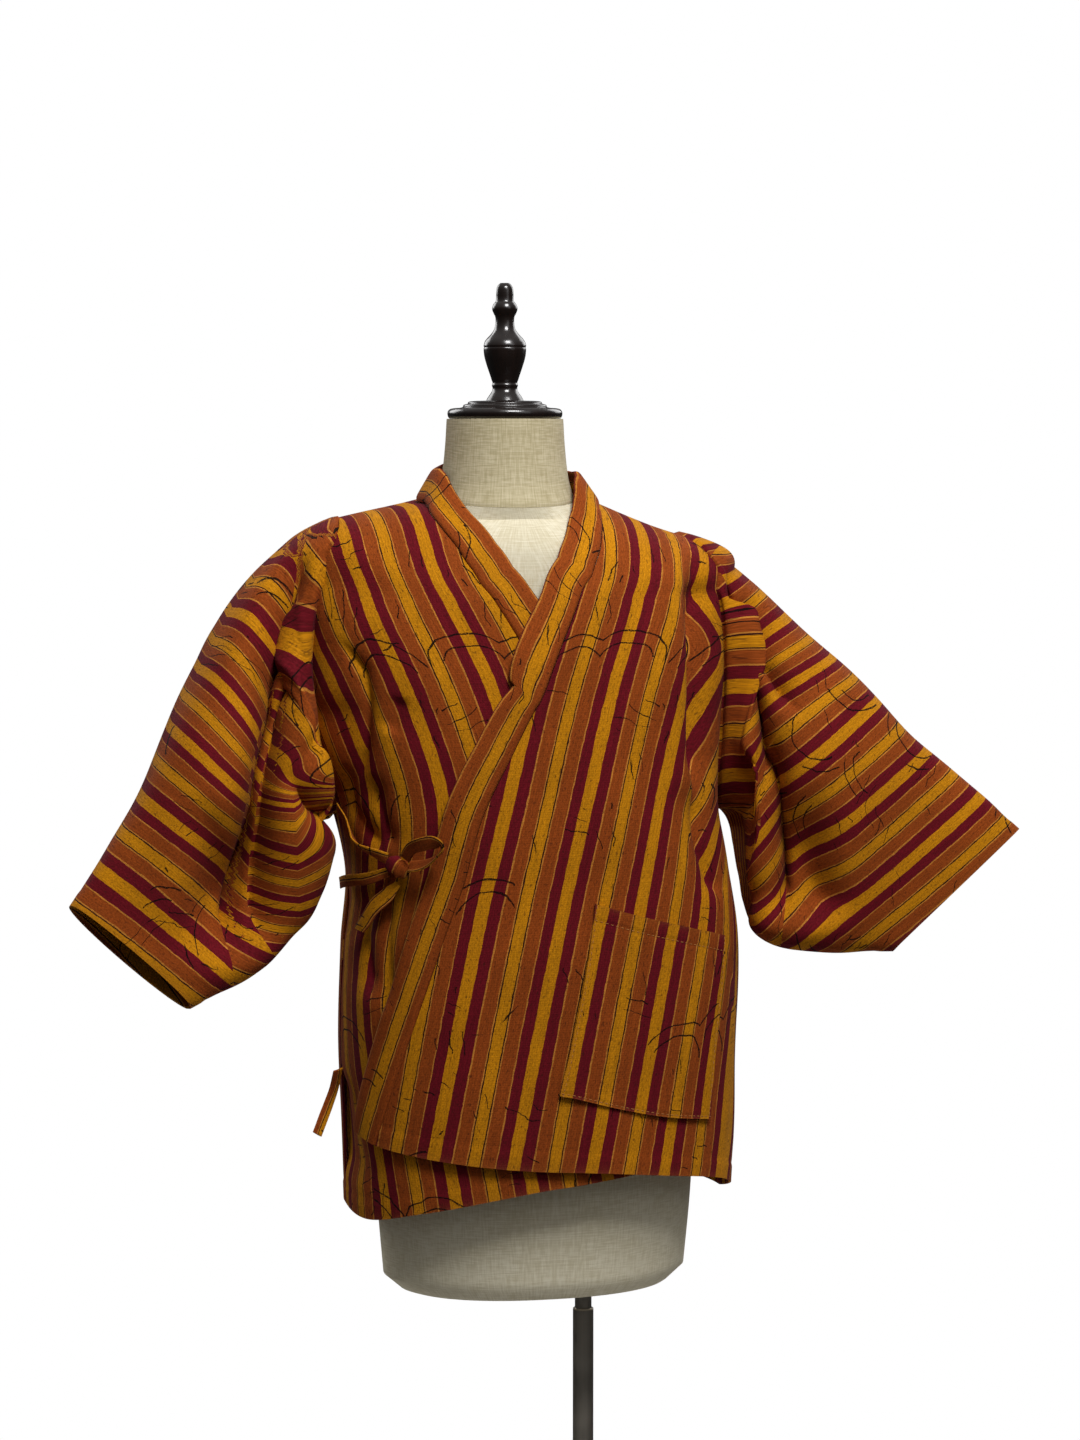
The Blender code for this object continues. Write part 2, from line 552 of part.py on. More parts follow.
def ring_normals(rings):
    """Outward directions on a tube of rings, from its neighbours round and along."""
    round_step = np.roll(rings, -1, axis=1) - np.roll(rings, 1, axis=1)
    normals = unit(np.cross(round_step, np.gradient(rings, axis=0)))
    outward = rings - rings.mean(axis=1, keepdims=True)
    return normals * np.sign(np.sum(normals * outward))


def build_sleeve(name, side, table, folds, panel):
    """A sleeve: a tapered tube from the armhole's edge to an open cuff."""
    rings, normals = sleeve_rings(side, table, folds, armhole_loop(side, *panel))
    count, around = rings.shape[:2]
    index = np.arange(count * around).reshape(count, around)
    index = np.concatenate([index, index[:, :1]], axis=1)
    half = (normals * CLOTH_THICKNESS / 2).reshape(-1, 3)
    points = rings.reshape(-1, 3)
    return wall_solid(name, points - half, points + half, grid_quads(index), MAIN_CLOTH)


def band_side(side, edge, hem, lift):
    """Half of the band, from its hem up the front and round to the centre back.

    Each station is a row across the band, square to its seam, from the seam to the free edge. On the
    chest the row follows the body surface, then it turns straight, and round the neck it stands up.
    """
    across = np.linspace(0.0, 1.0, BAND_CELLS + 1)[None, :]
    panel, back = front_grid(side, edge, hem, lift), back_grid(side, lift)
    angles, heights = panel[0][:, 0], panel[1][:, 0]
    seam_front = on_body(*(values[:, 0] for values in panel))[0]
    stride = CELLS_ACROSS_FRONT // BAND_STATIONS_OVER_FRONT
    seam_round = np.vstack([on_body(*(values[-1, stride::stride] for values in panel))[0],
                            on_body(*(values[-1, 1:] for values in back))[0]])
    along = unit(np.gradient(seam_front, axis=0))
    square = unit(np.cross(along, body_normal(angles, heights))) * -side
    turn, climb = surface_shift(angles, heights, square)
    chest = across * (BAND_WIDTH - SEAM_GAP) + SEAM_GAP
    chest_angles = angles[:, None] + turn[:, None] * chest
    chest_heights = heights[:, None] + climb[:, None] * chest
    on_chest = on_body(chest_angles, chest_heights, lift(chest_angles, chest_heights))[0]
    turning_height = BAND_FLAT_FROM_HEIGHT - BAND_LEAVES_CHEST_HEIGHT
    flat = smooth_step((heights - BAND_LEAVES_CHEST_HEIGHT) / turning_height)
    standing_height = NECK_HEIGHT - BAND_STANDS_FROM_HEIGHT
    stand = smooth_step((heights - BAND_STANDS_FROM_HEIGHT) / standing_height)[:, None]
    straight = unit(square * (1.0 - stand) + standing_direction(seam_front) * stand)
    seat = np.array([0.0, 0.0, BAND_SEAT])
    straight = (seam_front + seat * stand)[:, None, :] + straight[:, None, :] * chest[..., None]
    front = on_chest * (1.0 - flat[:, None, None]) + straight * flat[:, None, None]
    upward = standing_direction(seam_round)[:, None, :]
    standing = (seam_round + seat)[:, None, :] + upward * chest[..., None]
    return np.vstack([front, standing])


def surface_shift(angle, height, direction):
    """The change of angle and of height that moves a body surface point one metre in a direction."""
    before, after = body_point(angle - STEP_ANGLE, height), body_point(angle + STEP_ANGLE, height)
    per_degree = (after - before) / (2 * STEP_ANGLE)
    foot = np.minimum(height, NECK_HEIGHT - STEP_HEIGHT)
    per_height = (body_point(angle, foot + STEP_HEIGHT) - body_point(angle, foot)) / STEP_HEIGHT
    angle_angle = np.sum(per_degree ** 2, axis=-1)
    height_height = np.sum(per_height ** 2, axis=-1)
    both = np.sum(per_degree * per_height, axis=-1)
    to_angle = np.sum(per_degree * direction, axis=-1)
    to_height = np.sum(per_height * direction, axis=-1)
    scale = angle_angle * height_height - both ** 2
    return ((to_angle * height_height - to_height * both) / scale,
            (to_height * angle_angle - to_angle * both) / scale)


def standing_direction(seam):
    """The way the standing band goes from its seam: up, and in to its top radius round the neck."""
    inward = np.array([NECK_X, NECK_Y, 0.0]) - seam * (1.0, 1.0, 0.0)
    lean = np.linalg.norm(inward, axis=-1, keepdims=True) - BAND_TOP_RADIUS
    return unit(unit(inward) * lean + np.array([0.0, 0.0, BAND_RISE]))


def build_band(name, left_panel, right_panel):
    """The band: one folded strip up the left front, round the neck and down the right front."""
    left, right = band_side(1.0, *left_panel), band_side(-1.0, *right_panel)
    rows = np.vstack([left, right[-2::-1]])
    normals = unit(np.cross(np.gradient(rows, axis=0), np.gradient(rows, axis=1)))
    on_chest = len(row_heights()) // 2
    from_axis = rows[on_chest, 0] - np.array([NECK_X, NECK_Y, rows[on_chest, 0, 2]])
    normals *= np.sign(np.dot(normals[on_chest, 0], from_axis))
    index = np.arange(rows.shape[0] * rows.shape[1]).reshape(rows.shape[:2])
    inner = rows.reshape(-1, 3)
    outer = (rows + normals * BAND_THICKNESS).reshape(-1, 3)
    return wall_solid(name, inner, outer, grid_quads(index), "hanten_band")


def build_pocket(name):
    """The patch pocket, made from the left front's own surface and moved out."""
    across = np.linspace(0.0, 1.0, POCKET_CELLS_ACROSS + 1)[None, :]
    down = np.linspace(0.0, 1.0, POCKET_CELLS_DOWN + 1)[:, None]
    edges = smooth_rows(POCKET_EDGES, across)
    top_angle, top_height, bottom_angle, bottom_height = np.moveaxis(edges, -1, 0)
    angles = top_angle + (bottom_angle - top_angle) * down
    heights = top_height + (bottom_height - top_height) * down
    lifts = left_lift(angles, heights) + CLOTH_THICKNESS + POCKET_CLEARANCE
    inner = on_body(angles, heights, lifts)[0].reshape(-1, 3)
    outer = on_body(angles, heights, lifts + CLOTH_THICKNESS)[0].reshape(-1, 3)
    index = np.arange(angles.size).reshape(angles.shape)
    return wall_solid(name, inner, outer, grid_quads(index), MAIN_CLOTH)


def build_tie(name, path, width, end_cut):
    """A flat tie strip along its path, with its far end cut to a slant by end_cut of its width."""
    share = np.linspace(0.0, 1.0, TIE_CELLS + 1)
    table = np.column_stack([np.linspace(0.0, 1.0, len(path)), np.array(path)])
    angle, height, lift, face_angle = np.moveaxis(smooth_rows(table, share), -1, 0)
    points, normals = on_body(angle, height, lift)
    along = unit(np.gradient(points, axis=0))
    aside = unit(np.cross(normals, along))
    turn = np.radians(face_angle)[:, None]
    width_way = aside * np.cos(turn) + normals * np.sin(turn)
    thick_way = unit(np.cross(along, width_way)) * TIE_THICKNESS / 2
    upper = points + width_way * width / 2
    lower = points - width_way * width / 2
    cut_share = np.clip((share - TIE_CUT_STARTS) / (1.0 - TIE_CUT_STARTS), 0.0, 1.0)
    upper -= along * (width * end_cut * cut_share)[:, None]
    strip = np.stack([upper, lower], axis=1)
    inner = (strip - thick_way[:, None, :]).reshape(-1, 3)
    outer = (strip + thick_way[:, None, :]).reshape(-1, 3)
    index = np.arange(len(inner)).reshape(-1, 2)
    return wall_solid(name, inner, outer, grid_quads(index), "hanten_band")


def build_knot(name):
    """The bow's knot: a small rounded block lying on the body, tilted along the tie."""
    mesh = bpy.data.meshes.new(name)
    work = bmesh.new()
    bmesh.ops.create_cube(work, size=1.0)
    bmesh.ops.scale(work, vec=KNOT_SIZE, verts=work.verts)
    bmesh.ops.bevel(work, geom=list(work.edges), offset=KNOT_EDGE_RADIUS, segments=KNOT_EDGE_CUTS,
                    profile=0.5, affect="EDGES")
    work.to_mesh(mesh)
    work.free()
    mesh.shade_smooth()
    knot = bpy.data.objects.new(name, mesh)
    point, normal = on_body(np.array(KNOT_ANGLE), np.array(KNOT_HEIGHT), np.array(KNOT_LIFT))
    knot.location = point
    knot.rotation_euler = (0.0, -math.radians(KNOT_TILT), math.atan2(normal[0], -normal[1]))
    mesh.materials.append(bpy.data.materials["hanten_band"])
    bpy.context.scene.collection.objects.link(knot)
    return knot


def build_rings(name, rings, material):
    """A closed solid over rings of equal count, from the bottom up, with a face on each end."""
    sides = rings.shape[1]
    index = np.arange(rings.shape[0] * sides).reshape(-1, sides)
    faces = grid_quads(np.concatenate([index, index[:, :1]], axis=1))
    faces += [tuple(int(value) for value in index[0]), tuple(int(value) for value in index[-1])]
    return finish_mesh(name, rings.reshape(-1, 3), faces, material)


def build_turned(name, profile, sides, material, centre):
    """A turned piece: a profile of radii and heights, from the bottom up, spun round its axis."""
    angles = np.linspace(0.0, 2.0 * math.pi, sides, endpoint=False)
    radii, heights = np.array(profile).T
    points = np.stack([centre[0] + radii[:, None] * np.cos(angles),
                       centre[1] + radii[:, None] * np.sin(angles),
                       np.repeat(heights[:, None], sides, axis=1)], axis=-1)
    return build_rings(name, points, material)


def neck_rings(profile):
    """Rings round the neck's axis: the seam at its base tilts down to the front, its top is level."""
    angles = np.radians(np.linspace(-180.0, 180.0, FORM_SIDES, endpoint=False))
    radii, rises = np.array(profile).T[:, :, None]
    tilt = NECK_SEAM_TILT * (1.0 - rises / NECK_PROFILE[-1][1])
    depth = -radii * np.cos(angles)
    return np.stack([NECK_X + radii * np.sin(angles), NECK_Y + depth,
                     NECK_SEAM_HEIGHT + rises + tilt * depth], axis=-1)


def build_form_torso(name):
    """The linen torso, inside the jacket's body surface, which touches it along the shoulders."""
    above = row_heights()[-1 - CELLS_OVER_SHOULDER:]
    heights = np.concatenate([np.linspace(FORM_BOTTOM_HEIGHT, SHOULDER_HEIGHT, FORM_RINGS)[:-1], above])
    insets = smooth_rows(FORM_INSETS, heights)[:, :1]
    angles = np.linspace(-180.0, 180.0, FORM_SIDES, endpoint=False)[None, :]
    from_ridge = smooth_step(np.abs(90.0 - np.abs(angles)) / FORM_RIDGE_ANGLE)
    insets = insets + FORM_RIDGE_CLEARANCE * from_ridge
    angles, heights = np.broadcast_arrays(angles, heights[:, None])
    points = body_point(angles, heights) - body_normal(angles, heights) * insets[..., None]
    centre = points[0].mean(axis=0)
    foot = centre + (points[0] - centre) * FORM_FOOT_SHARE
    foot[:, 2] = FORM_BOTTOM_HEIGHT - FORM_BOTTOM_EDGE
    top = neck_rings(((NECK_PROFILE[0][0], -SEAM_GAP),))
    return build_rings(name, np.concatenate([foot[None], points, top]), "form_linen")


def make_materials():
    """One Principled material for each finish."""
    for name, (colour, roughness, metallic) in MATERIALS.items():
        material = bpy.data.materials.new(name)
        material.use_nodes = True
        shader = material.node_tree.nodes["Principled BSDF"]
        shader.inputs["Base Color"].default_value = (*colour, 1.0)
        shader.inputs["Roughness"].default_value = roughness
        shader.inputs["Metallic"].default_value = metallic


def build_jacket():
    """Every cut and sewn piece of the jacket."""
    left_panel = (LEFT_FRONT_EDGE, LEFT_FRONT_HEM, left_lift)
    right_panel = (RIGHT_FRONT_EDGE, RIGHT_FRONT_HEM, no_lift)
    build_panel("body_left", 1.0, *left_panel)
    build_panel("body_right", -1.0, *right_panel)
    build_sleeve("sleeve_left", 1.0, LEFT_SLEEVE, LEFT_SLEEVE_FOLDS, left_panel)
    build_sleeve("sleeve_right", -1.0, RIGHT_SLEEVE, RIGHT_SLEEVE_FOLDS, right_panel)
    build_band("neck_band", left_panel, right_panel)
    build_pocket("patch_pocket")
    build_knot("tie_knot")
    build_tie("tie_loop", TIE_LOOP, TIE_WIDTH, 0.0)
    build_tie("tie_side_tail", TIE_SIDE_TAIL, TIE_WIDTH, 0.6)
    build_tie("tie_hanging_tail", TIE_HANGING_TAIL, OPENED_TIE_WIDTH, 0.7)
    build_tie("tie_from_side_seam", TIE_FROM_SIDE, TIE_WIDTH, 0.0)
    build_tie("tie_inner_end", TIE_INNER_END, TIE_WIDTH, 0.5)


def build_form():
    """The dress form, from its finial down to the base on the floor."""
    neck = (NECK_X, NECK_Y)
    build_form_torso("form_torso")
    build_rings("form_neck", neck_rings(NECK_PROFILE), "form_linen")
    build_turned("neck_cap", CAP_PROFILE, FORM_SIDES, "turned_wood", neck)
    build_turned("finial", FINIAL_PROFILE, TURNED_SIDES, "turned_wood", neck)
    plate_bottom = FORM_BOTTOM_HEIGHT - FORM_BOTTOM_EDGE - SEAM_GAP - POLE_PLATE_THICKNESS
    pole = ((LOWER_POLE_RADIUS, BASE_HUB_HEIGHT + SEAM_GAP), (LOWER_POLE_RADIUS, LOWER_POLE_TOP),
            (POLE_RADIUS, LOWER_POLE_TOP), (POLE_RADIUS, plate_bottom),
            (POLE_PLATE_RADIUS, plate_bottom), (POLE_PLATE_RADIUS, plate_bottom + POLE_PLATE_THICKNESS))
    build_turned("stand_pole", pole, STAND_SIDES, "stand_metal", (0.0, 0.0))
    base = ((BASE_RADIUS, 0.0), (BASE_RADIUS, BASE_EDGE_THICKNESS),
            (BASE_HUB_RADIUS, BASE_CENTRE_THICKNESS), (BASE_HUB_RADIUS * BASE_HUB_TAPER, BASE_HUB_HEIGHT))
    build_turned("stand_base", base, STAND_SIDES, "stand_metal", (0.0, 0.0))


def main():
    """Clear the scene, then build the form and the jacket."""
    for old in list(bpy.data.objects):
        bpy.data.objects.remove(old, do_unlink=True)
    make_materials()
    build_form()
    build_jacket()


if __name__ == "__main__":
    main()
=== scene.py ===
"""Looks of a striped cotton hanten jacket on a limbless dress form with a turned cap and a pole stand.

Frame: metres, +Z up. The jacket's front faces -Y and the wearer's right is at -X. Every cloth piece
is a thin shell on the same surface as its solid: rings round the form, read by an angle (0 at the
front, 90 at the wearer's left, 180 at the back) and a height, and moved out by a lift. The weave's
coordinates are metres of cloth, so the stripes keep their width wherever the cloth turns.
"""
import logging
import math
from collections.abc import Callable
from dataclasses import dataclass
from enum import Enum

import bpy
import numpy as np
from mathutils import Matrix


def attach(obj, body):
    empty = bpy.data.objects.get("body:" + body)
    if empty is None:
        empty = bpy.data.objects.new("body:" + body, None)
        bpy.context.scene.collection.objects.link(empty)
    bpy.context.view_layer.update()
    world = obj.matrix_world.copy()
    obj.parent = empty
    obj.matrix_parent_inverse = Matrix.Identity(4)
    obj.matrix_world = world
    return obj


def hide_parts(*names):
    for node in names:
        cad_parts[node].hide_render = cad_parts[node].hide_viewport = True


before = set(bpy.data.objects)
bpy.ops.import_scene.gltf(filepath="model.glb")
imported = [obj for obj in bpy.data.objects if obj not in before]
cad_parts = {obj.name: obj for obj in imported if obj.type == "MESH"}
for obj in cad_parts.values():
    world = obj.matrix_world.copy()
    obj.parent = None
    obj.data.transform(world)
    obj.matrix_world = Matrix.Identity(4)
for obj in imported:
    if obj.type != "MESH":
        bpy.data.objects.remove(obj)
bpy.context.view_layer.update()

log = logging.getLogger("hanten")
Array = np.ndarray
Material = bpy.types.Material
Object = bpy.types.Object
Socket = bpy.types.NodeSocket

CLOTH_THICKNESS = 0.002
BAND_THICKNESS = 0.004
TIE_THICKNESS = 0.0022
SEAM_GAP = 0.0003
OVERLAP_LIFT = 0.007
POCKET_CLEARANCE = 0.0006
WEAR_REACH = 0.004
ARMPIT_HEIGHT = 1.080
SHOULDER_HEIGHT = 1.358
NECK_HEIGHT = 1.385
BACK_HEM_HEIGHT = 0.690
SIDE_SEAM_ANGLE = 0.06  # half of the seam's gap, in degrees
CENTRE_BACK_ANGLE = 179.93  # half of the seam's gap short of the middle
NECK_START_ANGLE = 74.0  # where the front edges reach the neck
BESIDE_CROWDING = 1.3  # power that draws the rows beside the armhole to the shoulder point
OVER_CROWDING = 1.6  # the same for the rows from there to the neck

BODY_RINGS = (
    # height, right, left, front, back, squareness, rise_front, rise_back, rise_right, rise_left
    (0.600, -0.240, 0.132, -0.146, 0.120, 2.2, 0.000, 0.000, 0.000, 0.000),
    (0.690, -0.243, 0.136, -0.148, 0.124, 2.3, 0.000, 0.000, 0.000, 0.000),
    (0.860, -0.248, 0.142, -0.146, 0.124, 2.3, 0.000, 0.000, 0.000, 0.000),
    (0.950, -0.246, 0.144, -0.143, 0.120, 2.3, 0.000, 0.000, 0.000, 0.000),
    (1.020, -0.240, 0.134, -0.140, 0.120, 2.3, 0.000, 0.000, 0.000, 0.000),
    (1.085, -0.254, 0.124, -0.140, 0.124, 2.3, 0.000, 0.000, 0.000, 0.000),
    (1.160, -0.278, 0.127, -0.138, 0.130, 2.3, 0.000, 0.000, 0.000, 0.000),
    (1.240, -0.289, 0.132, -0.131, 0.134, 2.3, 0.000, 0.000, 0.000, 0.000),
    (1.300, -0.287, 0.133, -0.119, 0.130, 2.3, -0.010, 0.000, 0.006, -0.004),
    (1.345, -0.270, 0.122, -0.104, 0.120, 2.2, -0.022, 0.000, 0.016, -0.006),
    (1.366, -0.222, 0.066, -0.092, 0.108, 2.1, -0.016, 0.012, 0.008, -0.006),
    (1.385, -0.166, 0.012, -0.076, 0.090, 2.0, -0.010, 0.014, -0.002, -0.002),
)
ARMHOLE = (
    # height, half_angle
    (1.080, 0.0), (1.110, 8.0), (1.160, 14.0), (1.233, 18.0),
    (1.290, 24.0), (1.325, 27.0), (1.345, 24.0), (1.352, 16.0), (1.358, 0.0),
)
LEFT_FRONT_EDGE = (
    # height, angle
    (0.690, -70.0), (0.771, -57.5), (0.852, -46.0), (0.930, -36.5), (1.010, -28.0), (1.080, -18.0),
    (1.150, -5.5), (1.193, 0.1), (1.228, 3.2), (1.266, 6.4), (1.298, 9.2), (1.331, 12.5), (1.348, 17.5),
    (1.358, 24.3), (1.369, 34.8), (1.377, 46.6), (1.382, 58.0), (1.385, 74.0),
)
RIGHT_FRONT_EDGE = (
    # height, angle
    (0.690, 62.0), (0.771, 54.0), (0.852, 45.0), (0.930, 36.5), (1.010, 28.0), (1.080, 20.0),
    (1.150, 8.5), (1.205, 2.5), (1.251, -1.9), (1.265, -3.4), (1.293, -6.7), (1.321, -11.0),
    (1.346, -17.0), (1.362, -27.0), (1.372, -40.1), (1.378, -52.2), (1.382, -62.0), (1.385, -74.0),
)
LEFT_FRONT_HEM = (
    # across, height
    (0.0, 0.764), (0.30, 0.748), (0.55, 0.735), (0.80, 0.716), (1.0, 0.690),
)
RIGHT_FRONT_HEM = (
    # across, height
    (0.0, 0.748), (0.38, 0.727), (0.68, 0.700), (0.86, 0.686), (1.0, 0.690),
)
RIGHT_SLEEVE = (
    # station, top_x, top_y, top_z, bottom_x, bottom_y, bottom_z, front, back
    (0.0, -0.249, 0.000, 1.366, -0.256, 0.000, 1.080, 0.050, 0.050),
    (1.0, -0.290, -0.004, 1.350, -0.266, -0.008, 1.069, 0.068, 0.062),
    (2.0, -0.333, -0.015, 1.312, -0.272, -0.012, 1.056, 0.084, 0.072),
    (3.0, -0.361, -0.025, 1.276, -0.275, -0.018, 1.042, 0.094, 0.076),
    (4.0, -0.383, -0.035, 1.239, -0.277, -0.026, 1.026, 0.094, 0.076),
    (5.0, -0.420, -0.050, 1.170, -0.281, -0.040, 1.003, 0.086, 0.070),
    (6.0, -0.450, -0.062, 1.111, -0.297, -0.058, 0.971, 0.068, 0.058),
    (7.0, -0.482, -0.075, 1.057, -0.340, -0.082, 0.938, 0.046, 0.044),
    (8.0, -0.519, -0.090, 1.006, -0.409, -0.105, 0.908, 0.026, 0.030),
)
LEFT_SLEEVE = (
    # station, top_x, top_y, top_z, bottom_x, bottom_y, bottom_z, front, back
    (0.0, 0.083, 0.000, 1.352, 0.125, 0.000, 1.080, 0.050, 0.050),
    (1.0, 0.125, -0.004, 1.336, 0.138, -0.008, 1.068, 0.068, 0.062),
    (2.0, 0.166, -0.015, 1.305, 0.146, -0.012, 1.052, 0.084, 0.070),
    (3.0, 0.207, -0.025, 1.270, 0.149, -0.018, 1.034, 0.090, 0.074),
    (4.0, 0.241, -0.035, 1.237, 0.151, -0.026, 1.012, 0.088, 0.072),
    (5.0, 0.277, -0.047, 1.202, 0.154, -0.040, 0.984, 0.080, 0.066),
    (6.0, 0.327, -0.062, 1.148, 0.168, -0.058, 0.953, 0.062, 0.054),
    (7.0, 0.377, -0.075, 1.103, 0.212, -0.080, 0.938, 0.040, 0.038),
    (8.0, 0.428, -0.090, 1.056, 0.294, -0.100, 0.940, 0.018, 0.018),
)
SLEEVE_CLEARANCE = (
    # station, clearance
    (0.0, 0.0), (0.5, 0.007), (1.0, 0.012), (2.0, 0.014), (4.0, 0.014), (5.0, 0.010), (8.0, 0.006),
)
POCKET_EDGES = (
    # across, top_angle, top_height, bottom_angle, bottom_height
    (0.0, 6.4, 1.002, -1.0, 0.818),
    (0.3, 16.8, 0.990, 12.0, 0.803),
    (0.6, 32.0, 0.976, 26.5, 0.791),
    (1.0, 54.5, 0.959, 47.0, 0.781),
)
FORM_INSETS = (
    # height, inset
    (0.600, 0.034), (0.700, 0.030), (0.860, 0.034), (1.020, 0.036), (1.160, 0.034), (1.260, 0.026),
    (1.320, 0.014), (1.345, 0.006), (1.358, 0.0013), (1.376, 0.0013), (1.385, 0.004),
)
NECK_CENTRE = (-0.0805, 0.0)
LOOK = (0.978, -0.208)


class Side(Enum):
    """Which side of the wearer a piece is on; the value is its direction on X."""

    LEFT = 1.0
    RIGHT = -1.0


class Wall(Enum):
    """Which wall of the jacket a crease lies in."""

    FRONT = "front"
    BACK = "back"


class CreaseShape(Enum):
    """How a crease's cross-section runs: a round dip, a sharp valley, or a step down to one side."""

    ROUND = "round"
    SHARP = "sharp"
    STEP = "step"


def smooth_rows(rows: tuple, position: Array | float) -> Array:
    """Read a table's columns after the first along smooth curves.

    The formula is a cubic through the rows, with tangents weighed by the spans beside each row.

    Args:
        rows: the table, sorted by its first column.
        position: places on the first column, of any shape.

    Returns:
        The other columns at those places, on a last axis.
    """
    table = np.asarray(rows, dtype=float)
    knots, values = table[:, 0], table[:, 1:]
    position = np.clip(np.asarray(position, dtype=float), knots[0], knots[-1])
    index = np.clip(np.searchsorted(knots, position, side="right") - 1, 0, len(knots) - 2)
    spans = np.diff(knots)[:, None]
    slopes = np.diff(values, axis=0) / spans
    inner = (slopes[1:] * spans[:-1] + slopes[:-1] * spans[1:]) / (spans[:-1] + spans[1:])
    tangents = np.vstack([slopes[:1], inner, slopes[-1:]])
    span = spans[index]
    share = (position - knots[index])[..., None] / span
    squared, cubed = share ** 2, share ** 3
    return ((2 * cubed - 3 * squared + 1) * values[index]
            + (cubed - 2 * squared + share) * span * tangents[index]
            + (3 * squared - 2 * cubed) * values[index + 1]
            + (cubed - squared) * span * tangents[index + 1])


def smooth_columns(rows: tuple, position: Array | float) -> Array:
    """A table's columns after the first, read as smooth_rows does, on the first axis."""
    return np.moveaxis(smooth_rows(rows, position), -1, 0)


def bell(distance: Array, width: float) -> Array:
    """A bell curve: the exponential of minus the square of a distance over a width."""
    return np.exp(-(distance / width) ** 2)


def smooth_step(value: Array | float) -> Array:
    """Rise smoothly from 0 to 1 as the value does: three times its square less twice its cube."""
    value = np.clip(value, 0.0, 1.0)
    return value * value * (3.0 - 2.0 * value)


def signed_power(value: Array, power: Array | float) -> Array:
    """Raise a value's size to a power and keep its sign."""
    return np.sign(value) * np.abs(value) ** power


def unit(vectors: Array) -> Array:
    """Scale vectors to length one."""
    return vectors / np.maximum(np.linalg.norm(vectors, axis=-1, keepdims=True), 1e-12)


def from_hex(code: str) -> tuple[float, float, float, float]:
    """Turn an sRGB hex colour to linear: the sRGB curve's straight foot, then its power of 2.4."""
    channels = [int(code[start:start + 2], 16) / 255.0 for start in (1, 3, 5)]
    linear = [c / 12.92 if c <= 0.04045 else ((c + 0.055) / 1.055) ** 2.4 for c in channels]
    return (*linear, 1.0)


def feed(tree: bpy.types.NodeTree, node: bpy.types.Node, inputs: dict) -> None:
    """Set or link a node's inputs.

    Args:
        tree: the node tree.
        node: the node to feed.
        inputs: by input name or number, a value to set or an output socket to link.
    """
    for key, value in inputs.items():
        if isinstance(value, Socket):
            tree.links.new(value, node.inputs[key])
        else:
            node.inputs[key].default_value = value


def add_node(tree: bpy.types.NodeTree, kind: str, inputs: dict | None = None,
             **settings: object) -> bpy.types.Node:
    """Add a node with its settings and inputs.

    Args:
        tree: the node tree.
        kind: the node's type name.
        inputs: by input name or number, a value to set or an output socket to link.
        settings: the node's own properties.

    Returns:
        The new node.
    """
    node = tree.nodes.new(kind)
    for key, value in settings.items():
        setattr(node, key, value)
    feed(tree, node, inputs or {})
    return node


